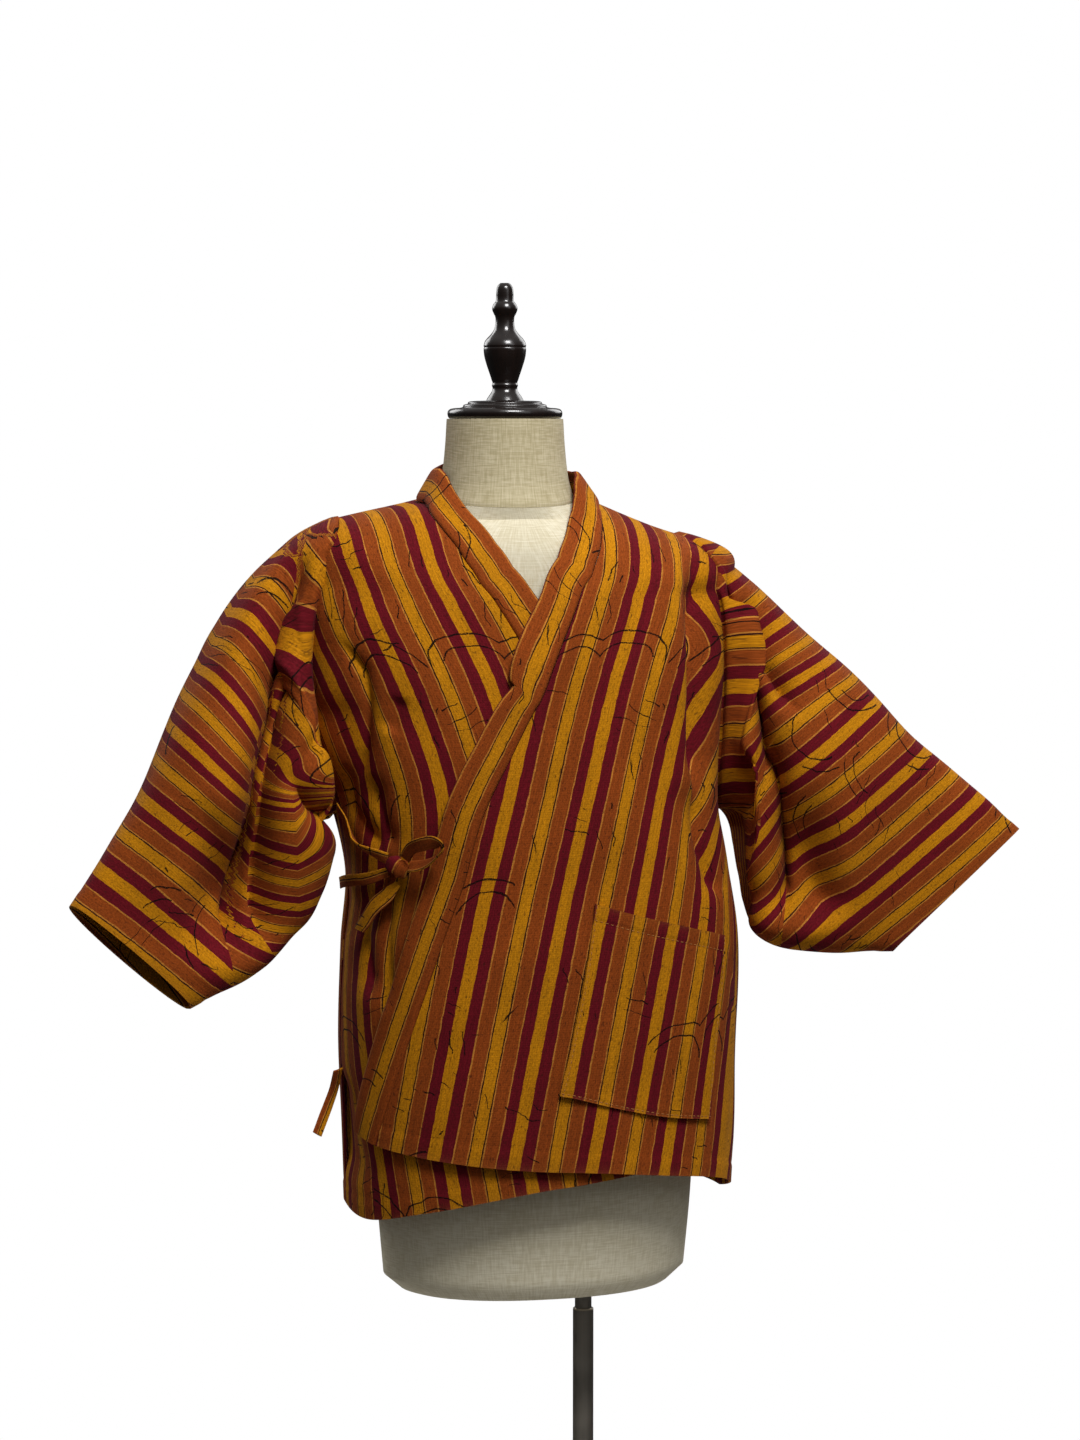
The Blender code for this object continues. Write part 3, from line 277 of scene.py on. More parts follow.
class Shading:
    """A new material with short ways to add its nodes, each of which gives an output socket."""

    def __init__(self, name: str) -> None:
        """Start the material with its plain shader."""
        self.material = bpy.data.materials.new(name)
        self.material.use_nodes = True
        self.tree = self.material.node_tree

    def add(self, kind: str, inputs: dict | None = None, output: str | int = 0,
            **settings: object) -> Socket:
        """Add a node and give one of its outputs."""
        return add_node(self.tree, kind, inputs, **settings).outputs[output]

    def place(self) -> Socket:
        """Object coordinates, in metres."""
        return self.add("ShaderNodeTexCoord", output="Object")

    def attribute(self, name: str, output: str = "Fac") -> Socket:
        """The values that the mesh carries under a name."""
        return self.add("ShaderNodeAttribute", output=output, attribute_name=name)

    def calculate(self, operation: str, *values: float | Socket) -> Socket:
        """The result of a sum on one to three values."""
        return self.add("ShaderNodeMath", dict(enumerate(values)), operation=operation)

    def stretch(self, place: Socket, *scale: float) -> Socket:
        """Coordinates times a scale on each axis."""
        return self.add("ShaderNodeMapping", {"Vector": place, "Scale": scale})

    def noise(self, place: Socket, scale: float, detail: float, flat: bool = True, output: str | int = 0,
              **more: float) -> Socket:
        """Cloudy noise, on a plane of cloth or through a solid."""
        return self.add("ShaderNodeTexNoise", {"Vector": place, "Scale": scale, "Detail": detail, **more},
                        output, noise_dimensions="2D" if flat else "3D")

    def waves(self, place: Socket, scale: float, distortion: float, detail: float,
              detail_scale: float = 1.0, axis: str = "Y") -> Socket:
        """Even bands along an axis, 0.314 of a unit apart at a scale of 1."""
        return self.add("ShaderNodeTexWave", {"Vector": place, "Scale": scale, "Distortion": distortion,
                                              "Detail": detail, "Detail Scale": detail_scale}, "Fac",
                        bands_direction=axis)

    def ranged(self, value: Socket, low: float, high: float, start: float = 0.0,
               end: float = 1.0) -> Socket:
        """A value's range from low to high moved to that from start to end, and held beyond it."""
        return self.add("ShaderNodeMapRange", {0: value, 1: low, 2: high, 3: start, 4: end})

    def blend(self, share: Socket, first: str | Socket, second: str) -> Socket:
        """Two colours mixed by the share of the second."""
        first = from_hex(first) if isinstance(first, str) else first
        return self.add("ShaderNodeMix", {0: share, 6: first, 7: from_hex(second)}, 2, data_type="RGBA")

    def steps(self, share: Socket, stops: list[tuple[float, tuple]]) -> Socket:
        """A colour that changes in steps.

        Args:
            share: where to read the colour, from 0 to 1.
            stops: where each colour starts and the colour in linear values, in order.

        Returns:
            The colour.
        """
        node = add_node(self.tree, "ShaderNodeValToRGB", {0: share})
        ramp = node.color_ramp
        ramp.interpolation = "CONSTANT"
        ramp.elements.remove(ramp.elements[-1])
        ramp.elements[0].position, ramp.elements[0].color = stops[0]
        for start, colour in stops[1:]:
            ramp.elements.new(start).color = colour
        return node.outputs[0]

    def relief(self, height: Socket, strength: float, depth: float) -> Socket:
        """The surface's direction over a relief of a depth in metres."""
        return self.add("ShaderNodeBump", {"Height": height, "Strength": strength, "Distance": depth})

    def finished(self, inputs: dict) -> Material:
        """Feed the shader and give the material."""
        feed(self.tree, self.tree.nodes["Principled BSDF"], inputs)
        return self.material


class Yarn(Enum):
    """Colours of the dyed yarns."""

    MAROON = "#640E19"
    YELLOW = "#BC7A08"
    LIGHT = "#B8752C"
    RUST = "#8C4012"
    DARK = "#30100A"


@dataclass(frozen=True)
class StripedCotton:
    """Yarn-dyed plain-weave cotton: matt, heathered with slubs, with a soft nap that catches light.

    Fine dark lines, loose arcs and short strokes of generic drawing, lie sparsely over the stripes.
    """

    name: str = "striped_cotton"
    repeat: tuple = (
        # width in millimetres, yarn
        (10.2, Yarn.MAROON), (11.8, Yarn.YELLOW), (11.3, Yarn.MAROON), (1.3, Yarn.LIGHT),
        (11.8, Yarn.RUST), (1.2, Yarn.LIGHT), (1.2, Yarn.DARK), (10.4, Yarn.YELLOW),
        (1.2, Yarn.DARK), (1.2, Yarn.LIGHT), (12.0, Yarn.RUST), (1.3, Yarn.LIGHT),
    )
    roughness: float = 0.88
    sheen: float = 0.01
    fleck_length: float = 0.0022
    fleck_width: float = 0.0009
    wander: float = 0.0016

    def stops(self) -> list[tuple[float, tuple]]:
        """The repeat as stops of a colour ramp: each stripe starts where the one before it ends."""
        widths = np.array([width for width, _ in self.repeat])
        starts = (np.cumsum(widths) - widths) / widths.sum()
        return [(float(start), from_hex(yarn.value)) for start, (_, yarn) in zip(starts, self.repeat)]

    def build(self) -> Material:
        """Make the material on the map called cloth, whose unit is a metre of cloth.

        Returns:
            The new material.
        """
        made = Shading(self.name)
        # Past a deep fold the cloth that the fold swallows makes the stripes jump.
        near = made.add("ShaderNodeUVMap", uv_map="cloth")
        far = made.attribute("past_cloth", "Vector")
        is_past = made.calculate("GREATER_THAN", made.attribute("past"), 0.0)
        cloth = made.add("ShaderNodeMix", {0: is_past, 4: near, 5: far}, 1, data_type="VECTOR")

        # The stripe edges wander by half a millimetre every 4 to 14 mm, as packed yarns do.
        wander = made.noise(made.stretch(cloth, 260.0, 70.0, 1.0), 1.0, 3.0)
        across = made.add("ShaderNodeSeparateXYZ", {0: cloth})
        across = made.calculate("MULTIPLY_ADD", wander, self.wander, across)
        repeat = sum(width for width, _ in self.repeat) / 1000.0
        phase = made.calculate("FRACT", made.calculate("MULTIPLY", across, 1.0 / repeat))
        colour = made.steps(phase, self.stops())

        # Heathered yarn: flecks 1.1 mm wide and 2.8 mm long, slubs 1.4 mm wide and 38 mm long, patches
        # 90 mm across, and dark specks 1.6 mm wide and 4 mm long.
        grain = made.stretch(cloth, 1.0 / self.fleck_width, 1.0 / self.fleck_length, 1.0)
        fleck = made.noise(grain, 0.8, 3.0, Roughness=0.65)
        slub = made.noise(made.stretch(cloth, 700.0, 26.0, 1.0), 1.0, 2.0)
        patch = made.noise(cloth, 11.0, 3.0)
        tone = made.calculate("MULTIPLY", made.ranged(fleck, 0.30, 0.70, 0.70, 1.22),
                              made.ranged(slub, 0.30, 0.70, 0.86, 1.12))
        tone = made.calculate("MULTIPLY", tone, made.ranged(patch, 0.25, 0.75, 0.90, 1.08))
        colour = made.add("ShaderNodeVectorMath", {0: colour, "Scale": tone}, operation="SCALE")
        speck = made.noise(grain, 0.55, 2.0, Distortion=0.6)
        colour = made.blend(made.ranged(speck, 0.63, 0.72, 0.0, 0.55), colour, "#34140A")

        # Worn edges are a little paler, where folds and hems have rubbed.
        rubbed = made.calculate("MULTIPLY", made.attribute("wear"), fleck)
        colour = made.blend(made.calculate("MULTIPLY", rubbed, 0.35), colour, "#A8642A")
        colour = made.blend(self.ink(made, cloth), colour, "#0C0403")

        # Plain weave, with the threads drawn at 2.2 mm where real ones are 0.5 mm, so that they show.
        weave = made.calculate("MULTIPLY_ADD", made.waves(cloth, 140.0, 1.2, 2.0, 3.0), 0.30, fleck)
        return made.finished({
            "Base Color": colour, "Normal": made.relief(weave, 0.35, 0.0005),
            "Roughness": made.ranged(fleck, 0.3, 0.7, self.roughness + 0.08, self.roughness - 0.08),
            "Sheen Weight": self.sheen, "Sheen Roughness": 0.55, "Specular IOR Level": 0.10})

    @staticmethod
    def ink(made: Shading, cloth: Socket) -> Socket:
        """Fine dark drawing: pairs of loose arcs like hills, and small patches of short strokes.

        An arc is where the distance to a scattered centre equals a radius, 40 or 28 mm, above the
        centre alone. The centres are about 77 mm apart. The strokes are the crests of two crossing
        waves 12 mm long, kept inside patches about 60 mm apart.

        Args:
            made: the material's shading.
            cloth: the cloth coordinates.

        Returns:
            A socket that is near 1 on a line and 0 off it.
        """
        calculate = made.calculate
        bend = made.noise(cloth, 30.0, 3.0, output="Color")
        bend = made.add("ShaderNodeVectorMath", {0: bend, 1: (0.010, 0.010, 0.0), 2: cloth},
                        operation="MULTIPLY_ADD")
        centres = add_node(made.tree, "ShaderNodeTexVoronoi",
                           {"Vector": bend, "Scale": 13.0, "Randomness": 0.75},
                           voronoi_dimensions="2D").outputs
        rings = []
        for radius, width in ((0.52, 0.0110), (0.36, 0.0100)):
            from_ring = calculate("ABSOLUTE", calculate("SUBTRACT", centres["Distance"], radius))
            rings.append(calculate("LESS_THAN", from_ring, width))
        lines = calculate("MAXIMUM", *rings)
        offset = made.add("ShaderNodeVectorMath", {0: bend, 1: centres["Position"]}, operation="SUBTRACT")
        above = made.add("ShaderNodeSeparateXYZ", {0: offset}, 1)
        pick = made.add("ShaderNodeSeparateColor", {0: centres["Color"]})
        for value, least in ((above, 0.004), (pick, 0.25), (made.noise(cloth, 6.5, 0.0), 0.535)):
            lines = calculate("MULTIPLY", lines, calculate("GREATER_THAN", value, least))
        for turn in (0.35, 1.25):
            lean = made.add("ShaderNodeMapping", {"Vector": bend, "Rotation": (0.0, 0.0, turn)})
            crest = calculate("GREATER_THAN", made.waves(lean, 26.0, 4.0, 2.0, 1.5), 0.985)
            patch = calculate("GREATER_THAN", made.noise(lean, 17.0, 1.0), 0.70)
            lines = calculate("MAXIMUM", lines, calculate("MULTIPLY", crest, patch))
        # The dye breaks up over the yarns, so each line is a little dotted.
        dots = made.ranged(made.noise(cloth, 620.0, 2.0), 0.30, 0.42, 0.40, 0.95)
        return calculate("MULTIPLY", lines, dots)


@dataclass(frozen=True)
class Linen:
    """Undyed plain-weave linen over padding: matt, with uneven threads both ways and a pale slub."""

    name: str
    pale: str
    deep: str

    def build(self) -> Material:
        """Make the material on the map called cloth, whose unit is a metre of cloth.

        Returns:
            The new material.
        """
        made = Shading(self.name)
        cloth = made.add("ShaderNodeUVMap", uv_map="cloth")
        # Threads are drawn 1.4 mm apart where the real ones are 0.7 mm, so that they show.
        warp = made.noise(made.stretch(cloth, 720.0, 60.0, 1.0), 1.0, 2.0)
        weft = made.noise(made.stretch(cloth, 60.0, 720.0, 1.0), 1.0, 2.0)
        threads = made.calculate("ADD", warp, weft)
        tone = made.calculate("MULTIPLY_ADD", made.noise(cloth, 22.0, 4.0), 0.5, threads)
        return made.finished({
            "Base Color": made.blend(made.ranged(tone, 0.95, 1.55), self.deep, self.pale),
            "Normal": made.relief(threads, 0.4, 0.0004), "Roughness": 0.93,
            "Sheen Weight": 0.06, "Specular IOR Level": 0.25})


@dataclass(frozen=True)
class LacqueredWood:
    """Turned hardwood stained black and lacquered: glossy, with faint rings of the tool and the grain."""

    name: str = "black_lacquered_wood"

    def build(self) -> Material:
        """Make the material on object coordinates, with the grain running up the turning.

        Returns:
            The new material.
        """
        made = Shading(self.name)
        place = made.place()
        # Grain 3 mm wide and 60 mm long, and tool rings about 1.5 mm apart.
        grain = made.noise(made.stretch(place, 330.0, 330.0, 16.0), 1.0, 4.0, flat=False)
        height = made.calculate("MULTIPLY_ADD", grain, 0.6, made.waves(place, 210.0, 0.6, 1.0, axis="Z"))
        smudge = made.noise(place, 60.0, 3.0, flat=False)
        return made.finished({
            "Base Color": made.blend(grain, "#070504", "#1E120D"),
            "Normal": made.relief(height, 0.12, 0.0002),
            "Roughness": made.ranged(smudge, 0.3, 0.7, 0.20, 0.34),
            "Coat Weight": 0.5, "Coat Roughness": 0.12, "IOR": 1.5})


@dataclass(frozen=True)
class SatinSteel:
    """Drawn steel tube with a satin dark plating: soft reflections stretched round the tube."""

    name: str = "satin_dark_steel"

    def build(self) -> Material:
        """Make the material on object coordinates, with the drawing lines running up the tube.

        Returns:
            The new material.
        """
        made = Shading(self.name)
        place = made.place()
        # Drawing lines 1 mm wide and over 100 mm long, and clouds of dust 30 mm across.
        drawn = made.noise(made.stretch(place, 900.0, 900.0, 8.0), 1.0, 3.0, flat=False)
        dust = made.noise(place, 35.0, 4.0, flat=False)
        return made.finished({
            "Base Color": made.blend(drawn, "#9C958A", "#B4ACA0"),
            "Normal": made.relief(drawn, 0.08, 0.0001),
            "Roughness": made.ranged(dust, 0.3, 0.7, 0.30, 0.44), "Metallic": 1.0})


@dataclass(frozen=True)
class CottonThread:
    """Spun cotton sewing thread: matt and a shade paler than the cloth, so that stitches show."""

    name: str = "rust_cotton_thread"

    def build(self) -> Material:
        """Make the material on object coordinates, with plies about 0.4 mm long.

        Returns:
            The new material.
        """
        made = Shading(self.name)
        plies = made.noise(made.place(), 2400.0, 2.0, flat=False)
        return made.finished({"Base Color": made.blend(plies, "#8A4A1C", "#C98C48"),
                              "Normal": made.relief(plies, 0.3, 0.0001), "Roughness": 0.85})


@dataclass(frozen=True)
class PaleFloor:
    """Matt pale studio board with a very faint tooth."""

    name: str = "studio_board"

    def build(self) -> Material:
        """Make the material on object coordinates, with clouds about a quarter of a metre across.

        Returns:
            The new material.
        """
        made = Shading(self.name)
        tooth = made.noise(made.place(), 4.0, 3.0, flat=False)
        return made.finished({"Base Color": made.blend(tooth, "#DDDCDA", "#E2E1E0"),
                              "Roughness": 0.95, "Specular IOR Level": 0.1})


@dataclass(frozen=True)
class Crease:
    """A crease along a line on X and Z, pressed into one wall of the jacket.

    Its depth fades with the distance from the line, and over a share of its length at each end.
    takes_in is how much cloth the crease swallows, which shifts the stripes on its far side.
    """

    wall: Wall
    path: tuple
    depth: float
    width: float
    shape: CreaseShape = CreaseShape.ROUND
    takes_in: float = 0.0
    run_in: float = 0.25
    run_out: float = 0.25

    def measure(self, points: Array) -> tuple[Array, Array]:
        """Signed distance from the line, and how fully the crease is formed there.

        Args:
            points: points of cloth, on a last axis of X, Y and Z.

        Returns:
            The distance, positive to the right of the line's way, and a share from 0 to 1.
        """
        flat = points[..., (0, 2)]
        corners = np.asarray(self.path, dtype=float)
        lengths = np.linalg.norm(np.diff(corners, axis=0), axis=1)
        nearest = np.full(flat.shape[:-1], np.inf)
        signed, along, start = np.zeros_like(nearest), np.zeros_like(nearest), 0.0
        for begin, end, length in zip(corners[:-1], corners[1:], lengths):
            run, offset = (end - begin) / length, flat - begin
            reach = np.clip(np.sum(offset * run, axis=-1), 0.0, length)
            distance = np.linalg.norm(offset - reach[..., None] * run, axis=-1)
            side = np.where(offset[..., 0] * run[1] - offset[..., 1] * run[0] < 0.0, -1.0, 1.0)
            closer = distance < nearest
            nearest = np.where(closer, distance, nearest)
            signed = np.where(closer, distance * side, signed)
            along = np.where(closer, (start + reach) / lengths.sum(), along)
            start += length
        formed = np.ones_like(nearest)
        if self.run_in > 0.0:
            formed = formed * smooth_step(along / self.run_in)
        if self.run_out > 0.0:
            formed = formed * smooth_step((1.0 - along) / self.run_out)
        return signed, formed

    def press(self, points: Array) -> Array:
        """How far the crease moves each point along its normal.

        A round dip falls off as a bell curve and a sharp valley as a rounded exponential. A step is
        half of one plus the hyperbolic tangent, under a wide bell curve.

        Args:
            points: points of cloth.

        Returns:
            The distances, inwards where negative.
        """
        signed, formed = self.measure(points)
        distance = np.abs(signed) / self.width
        if self.shape is CreaseShape.ROUND:
            section = bell(distance, 1.0)
        elif self.shape is CreaseShape.SHARP:
            section = np.exp(-np.sqrt(distance ** 2 + 0.02) + 0.14)
        else:
            section = 0.5 * (1.0 + np.tanh(signed / self.width)) * bell(distance, 7.0)
        return self.depth * section * formed

    def shift(self, points: Array) -> Array:
        """How far the stripes move along the cloth past the crease."""
        signed, formed = self.measure(points)
        return self.takes_in * 0.5 * (1.0 + np.tanh(signed / self.width)) * formed


def sum_creases(effect: Callable, points: Array, is_front: Array, creases: tuple) -> Array:
    """Add up what the creases of each point's own wall do there.

    Args:
        effect: Crease.press or Crease.shift.
        points: points of cloth.
        is_front: which of them are on the front wall.
        creases: the creases.

    Returns:
        The sum at each point.
    """
    total = np.zeros(points.shape[:-1])
    for crease in creases:
        total += np.where(is_front == (crease.wall is Wall.FRONT), effect(crease, points), 0.0)
    return total


def soft_waves(weave: Array, size: float, seed: int) -> Array:
    """Slack in the cloth: a sum of eight sine waves of 45 to 140 mm with seeded ways and starts.

    Args:
        weave: cloth coordinates, on a last axis.
        size: how far the slack moves the cloth, in metres.
        seed: the seed of the draws.

    Returns:
        The distance at each point.
    """
    rng = np.random.default_rng(seed)
    total = np.zeros(weave.shape[:-1])
    for length in np.linspace(0.045, 0.140, 8):
        turn, start = rng.uniform(0.0, math.tau, 2)
        way = np.array([math.cos(turn), 0.6 * math.sin(turn)]) * math.tau / length
        total += np.sin(weave @ way + start) * (length / 0.140)
    return total * size / 2.0


def turned_hem(distance: Array, depth: float, thicker: float) -> Array:
    """Added thickness of a turned hem: even up to its stitch line, which draws the cloth in.

    Args:
        distance: how far each point is from the edge.
        depth: how far the stitch line is from the edge.
        thicker: what the turned cloth adds.

    Returns:
        The added thickness at each point.
    """
    turned = thicker * smooth_step((depth + 0.002 - distance) / 0.003)
    return turned - 0.0006 * bell(distance - depth, 0.0016)


@dataclass(frozen=True)
class BodySurface:
    """The surface that the jacket's body follows: a superellipse ring at each height.

    turn_step and climb_step, in degrees and metres, are the small steps that slopes are taken over.
    """

    rings: tuple = BODY_RINGS
    turn_step: float = 0.5
    climb_step: float = 0.001

    def point(self, angle: Array, height: Array) -> Array:
        """Points on the surface, each ring tilted by its four rises.

        Args:
            angle: degrees round from the front.
            height: the ring's nominal height.

        Returns:
            Points on a last axis.
        """
        angle, height = np.broadcast_arrays(np.radians(angle), height)
        (right, left, front, back, squareness,
         rise_front, rise_back, rise_right, rise_left) = smooth_columns(self.rings, height)
        across = signed_power(np.sin(angle), 2.0 / squareness)
        forward = signed_power(np.cos(angle), 2.0 / squareness)
        sideways = np.sin(angle) ** 2
        rise = (np.where(np.sin(angle) > 0.0, rise_left, rise_right) * sideways
                + np.where(np.cos(angle) > 0.0, rise_front, rise_back) * (1.0 - sideways))
        return np.stack([(left + right) / 2 + (left - right) / 2 * across,
                         (front + back) / 2 - (back - front) / 2 * forward,
                         height + rise], axis=-1)

    def normal(self, angle: Array, height: Array) -> Array:
        """Outward directions, square to small steps round and up.

        Args:
            angle: degrees round from the front.
            height: nominal heights.

        Returns:
            Unit directions on a last axis.
        """
        turn, climb = self.turn_step, self.climb_step
        height = np.clip(height, self.rings[0][0] + climb, NECK_HEIGHT - climb)
        round_step = self.point(angle + turn, height) - self.point(angle - turn, height)
        up_step = self.point(angle, height + climb) - self.point(angle, height - climb)
        return unit(np.cross(round_step, up_step))

    def laid(self, angle: Array, height: Array, lift: Array, creases: tuple) -> tuple[Array, Array]:
        """Cloth laid on the surface: points moved out by a lift and by the creases.

        Args:
            angle: degrees round from the front.
            height: nominal heights.
            lift: distance out from the surface.
            creases: creases to press in.

        Returns:
            The points and their outward directions.
        """
        points, normals = self.point(angle, height), self.normal(angle, height)
        is_front = np.cos(np.radians(angle)) > 0.0
        move = lift + sum_creases(Crease.press, points, is_front, creases)
        return points + normals * move[..., None], normals

    def shift(self, angle: Array, height: Array, direction: Array) -> tuple[Array, Array]:
        """The change of angle and of height that moves a point one metre in a direction.

        Args:
            angle: degrees round from the front.
            height: nominal heights.
            direction: unit directions that lie in the surface.

        Returns:
            Degrees and nominal height per metre, by least squares on the two slopes.
        """
        turn, climb = self.turn_step, self.climb_step
        per_degree = (self.point(angle + turn, height) - self.point(angle - turn, height)) / (2 * turn)
        foot = np.minimum(height, NECK_HEIGHT - climb)
        per_height = (self.point(angle, foot + climb) - self.point(angle, foot)) / climb
        angle_angle = np.sum(per_degree ** 2, axis=-1)
        height_height = np.sum(per_height ** 2, axis=-1)
        both = np.sum(per_degree * per_height, axis=-1)
        to_angle = np.sum(per_degree * direction, axis=-1)
        to_height = np.sum(per_height * direction, axis=-1)
        scale = angle_angle * height_height - both ** 2
        return ((to_angle * height_height - to_height * both) / scale,
                (to_height * angle_angle - to_angle * both) / scale)

    def clear(self, points: Array, clearance: Array) -> Array:
        """Move points out level with the floor until they are a clearance outside the surface.

        Args:
            points: rings of points.
            clearance: the distance for each ring, with a last axis of one.

        Returns:
            The points, moved along the line from the middle of the body where they were too near.
        """
        right, left, front, back, squareness = smooth_columns(self.rings, points[..., 2])[:5]
        centre = np.stack([(right + left) / 2, (front + back) / 2], axis=-1)
        half = np.stack([(left - right) / 2, (back - front) / 2], axis=-1) + clearance[:, None, :]
        offset = points[..., :2] - centre
        reach = np.sum(np.abs(offset / half) ** squareness[..., None], axis=-1) ** (1.0 / squareness)
        level = centre + offset * np.maximum(1.0, 1.0 / np.maximum(reach, 1e-6))[..., None]
        return np.concatenate([level, points[..., 2:]], axis=-1)


SURFACE = BodySurface()

BODY_CREASES = (
    Crease(Wall.FRONT, ((0.088, 1.290), (0.088, 1.140)), -0.009, 0.016, run_in=0.0, run_out=0.0),
    Crease(Wall.FRONT, ((0.060, 1.300), (0.066, 1.120)), 0.005, 0.018, run_in=0.0, run_out=0.0),
    Crease(Wall.FRONT, ((-0.258, 1.180), (-0.236, 1.110)), -0.006, 0.018, run_in=0.0, run_out=0.0),
    Crease(Wall.BACK, ((-0.190, 1.240), (-0.150, 0.900)), 0.008, 0.030, run_in=0.0, run_out=0.0),
    Crease(Wall.BACK, ((0.060, 1.240), (0.030, 0.900)), 0.008, 0.030, run_in=0.0, run_out=0.0),
    # The tuck beside the left armhole, and the slack that runs down from it.
    Crease(Wall.FRONT, ((0.083, 1.080), (0.077, 1.142), (0.077, 1.214), (0.080, 1.284), (0.072, 1.335)),
           -0.012, 0.0035, CreaseShape.STEP, run_in=0.2, run_out=0.35),
    Crease(Wall.FRONT, ((0.083, 1.110), (0.088, 1.050), (0.100, 1.015), (0.118, 0.992)),
           -0.010, 0.008, CreaseShape.SHARP),
    Crease(Wall.FRONT, ((0.089, 1.335), (0.096, 1.291), (0.086, 1.250)), -0.007, 0.006, CreaseShape.SHARP),
    # The right front: a jog under the armhole, a dimple, and pulls towards the knot.
    Crease(Wall.FRONT, ((-0.262, 1.262), (-0.238, 1.226), (-0.235, 1.198), (-0.239, 1.148), (-0.249, 1.102)),
           -0.010, 0.006, CreaseShape.SHARP, takes_in=0.004),
    Crease(Wall.FRONT, ((-0.204, 1.204), (-0.217, 1.166)), -0.005, 0.009),
    Crease(Wall.FRONT, ((-0.257, 1.137), (-0.247, 1.091), (-0.215, 1.048)), -0.008, 0.006, CreaseShape.SHARP),
    Crease(Wall.FRONT, ((-0.233, 1.128), (-0.220, 1.084), (-0.208, 1.050)), -0.007, 0.006, CreaseShape.SHARP),
    Crease(Wall.FRONT, ((-0.226, 1.020), (-0.234, 0.968), (-0.228, 0.900)), -0.009, 0.007, CreaseShape.SHARP),
    Crease(Wall.FRONT, ((-0.212, 1.015), (-0.216, 0.960), (-0.214, 0.890)), -0.006, 0.006, CreaseShape.SHARP),
    Crease(Wall.FRONT, ((-0.254, 0.833), (-0.246, 0.764), (-0.235, 0.714)), -0.007, 0.010),
)


def grid_quads(index: Array) -> Array:
    """Quads over a grid of vertex numbers, four to a row."""
    corners = (index[:-1, :-1], index[:-1, 1:], index[1:, 1:], index[1:, :-1])
    return np.stack(corners, axis=-1).reshape(-1, 4)


def enclosed_volume(points: Array, quads: Array) -> float:
    """Signed volume within quads: each one's two triangles taken as tetrahedra from the origin."""
    a, b, c, d = (points[quads[:, corner]] for corner in range(4))
    return float(np.sum(a * np.cross(b, c)) + np.sum(a * np.cross(c, d))) / 6.0


def carry(ways: Array, amounts: Array) -> Array:
    """Move by amounts, a row to each direction."""
    return ways[:, None, :] * amounts[..., None]


def run_along(line: Array) -> Array:
    """How far each point of a line is from its start, along the line."""
    return np.concatenate([[0.0], np.cumsum(np.linalg.norm(np.diff(line, axis=0), axis=1))])


def tube_faces(rings: Array) -> list[list[int]]:
    """Faces over closed rings of equal count, with one face on each end.

    Args:
        rings: the rings' points.

    Returns:
        Vertex numbers of each face, all outward.
    """
    count, sides = rings.shape[:2]
    index = np.arange(count * sides).reshape(count, sides)
    quads = grid_quads(np.concatenate([index, index[:, :1]], axis=1))
    faces = quads.tolist() + [index[0][::-1].tolist(), index[-1].tolist()]
    points = rings.reshape(-1, 3)
    if enclosed_volume(points - points.mean(axis=0), quads) < 0.0:
        faces = [face[::-1] for face in faces]
    return faces


def add_object(name: str, data: bpy.types.ID) -> Object:
    """Put an object with its data at the origin of the scene."""
    made = bpy.data.objects.new(name, data)
    bpy.context.scene.collection.objects.link(made)
    return made


def make_piece(name: str, points: Array, faces: list[list[int]], weave: Array, finish: Material,
               wear: Array | None = None, sharp: float = 50.0,
               beyond: tuple[Array, Array] | None = None) -> Object:
    """Make a finished mesh object at the origin and let it ride with the CAD body.

    Args:
        name: the object's name.
        points: all vertices, or a grid of them.
        faces: vertex numbers of each face, outward.
        weave: the cloth coordinates of each vertex, in metres.
        finish: its material.
        wear: how rubbed each vertex is, from 0 to 1.
        sharp: the angle in degrees over which an edge is shaded sharp.
        beyond: the cloth coordinates that hold past a fold, and the distance past it.

    Returns:
        The new object.
    """
    points = points.reshape(-1, 3)
    mesh = bpy.data.meshes.new(name)
    mesh.from_pydata(points.tolist(), [], faces)
    layer = mesh.uv_layers.new(name="cloth")
    corners = np.empty(len(mesh.loops), dtype=np.int32)
    mesh.loops.foreach_get("vertex_index", corners)
    layer.data.foreach_set("uv", weave.reshape(-1, 2)[corners].astype(np.float32).ravel())
    values = [("wear", "FLOAT", "value", np.zeros(len(points)) if wear is None else wear)]
    if beyond is not None:
        vectors = np.column_stack([beyond[0], np.zeros(len(points))])
        values += [("past_cloth", "FLOAT_VECTOR", "vector", vectors), ("past", "FLOAT", "value", beyond[1])]
    for label, kind, key, value in values:
        mesh.attributes.new(label, kind, "POINT").data.foreach_set(key, value.astype(np.float32).ravel())
    mesh.materials.append(finish)
    mesh.shade_smooth()
    mesh.set_sharp_from_angle(angle=math.radians(sharp))
    piece = add_object(name, mesh)
    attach(piece, "root")
    log.info("%s: %d faces", name, len(faces))
    return piece


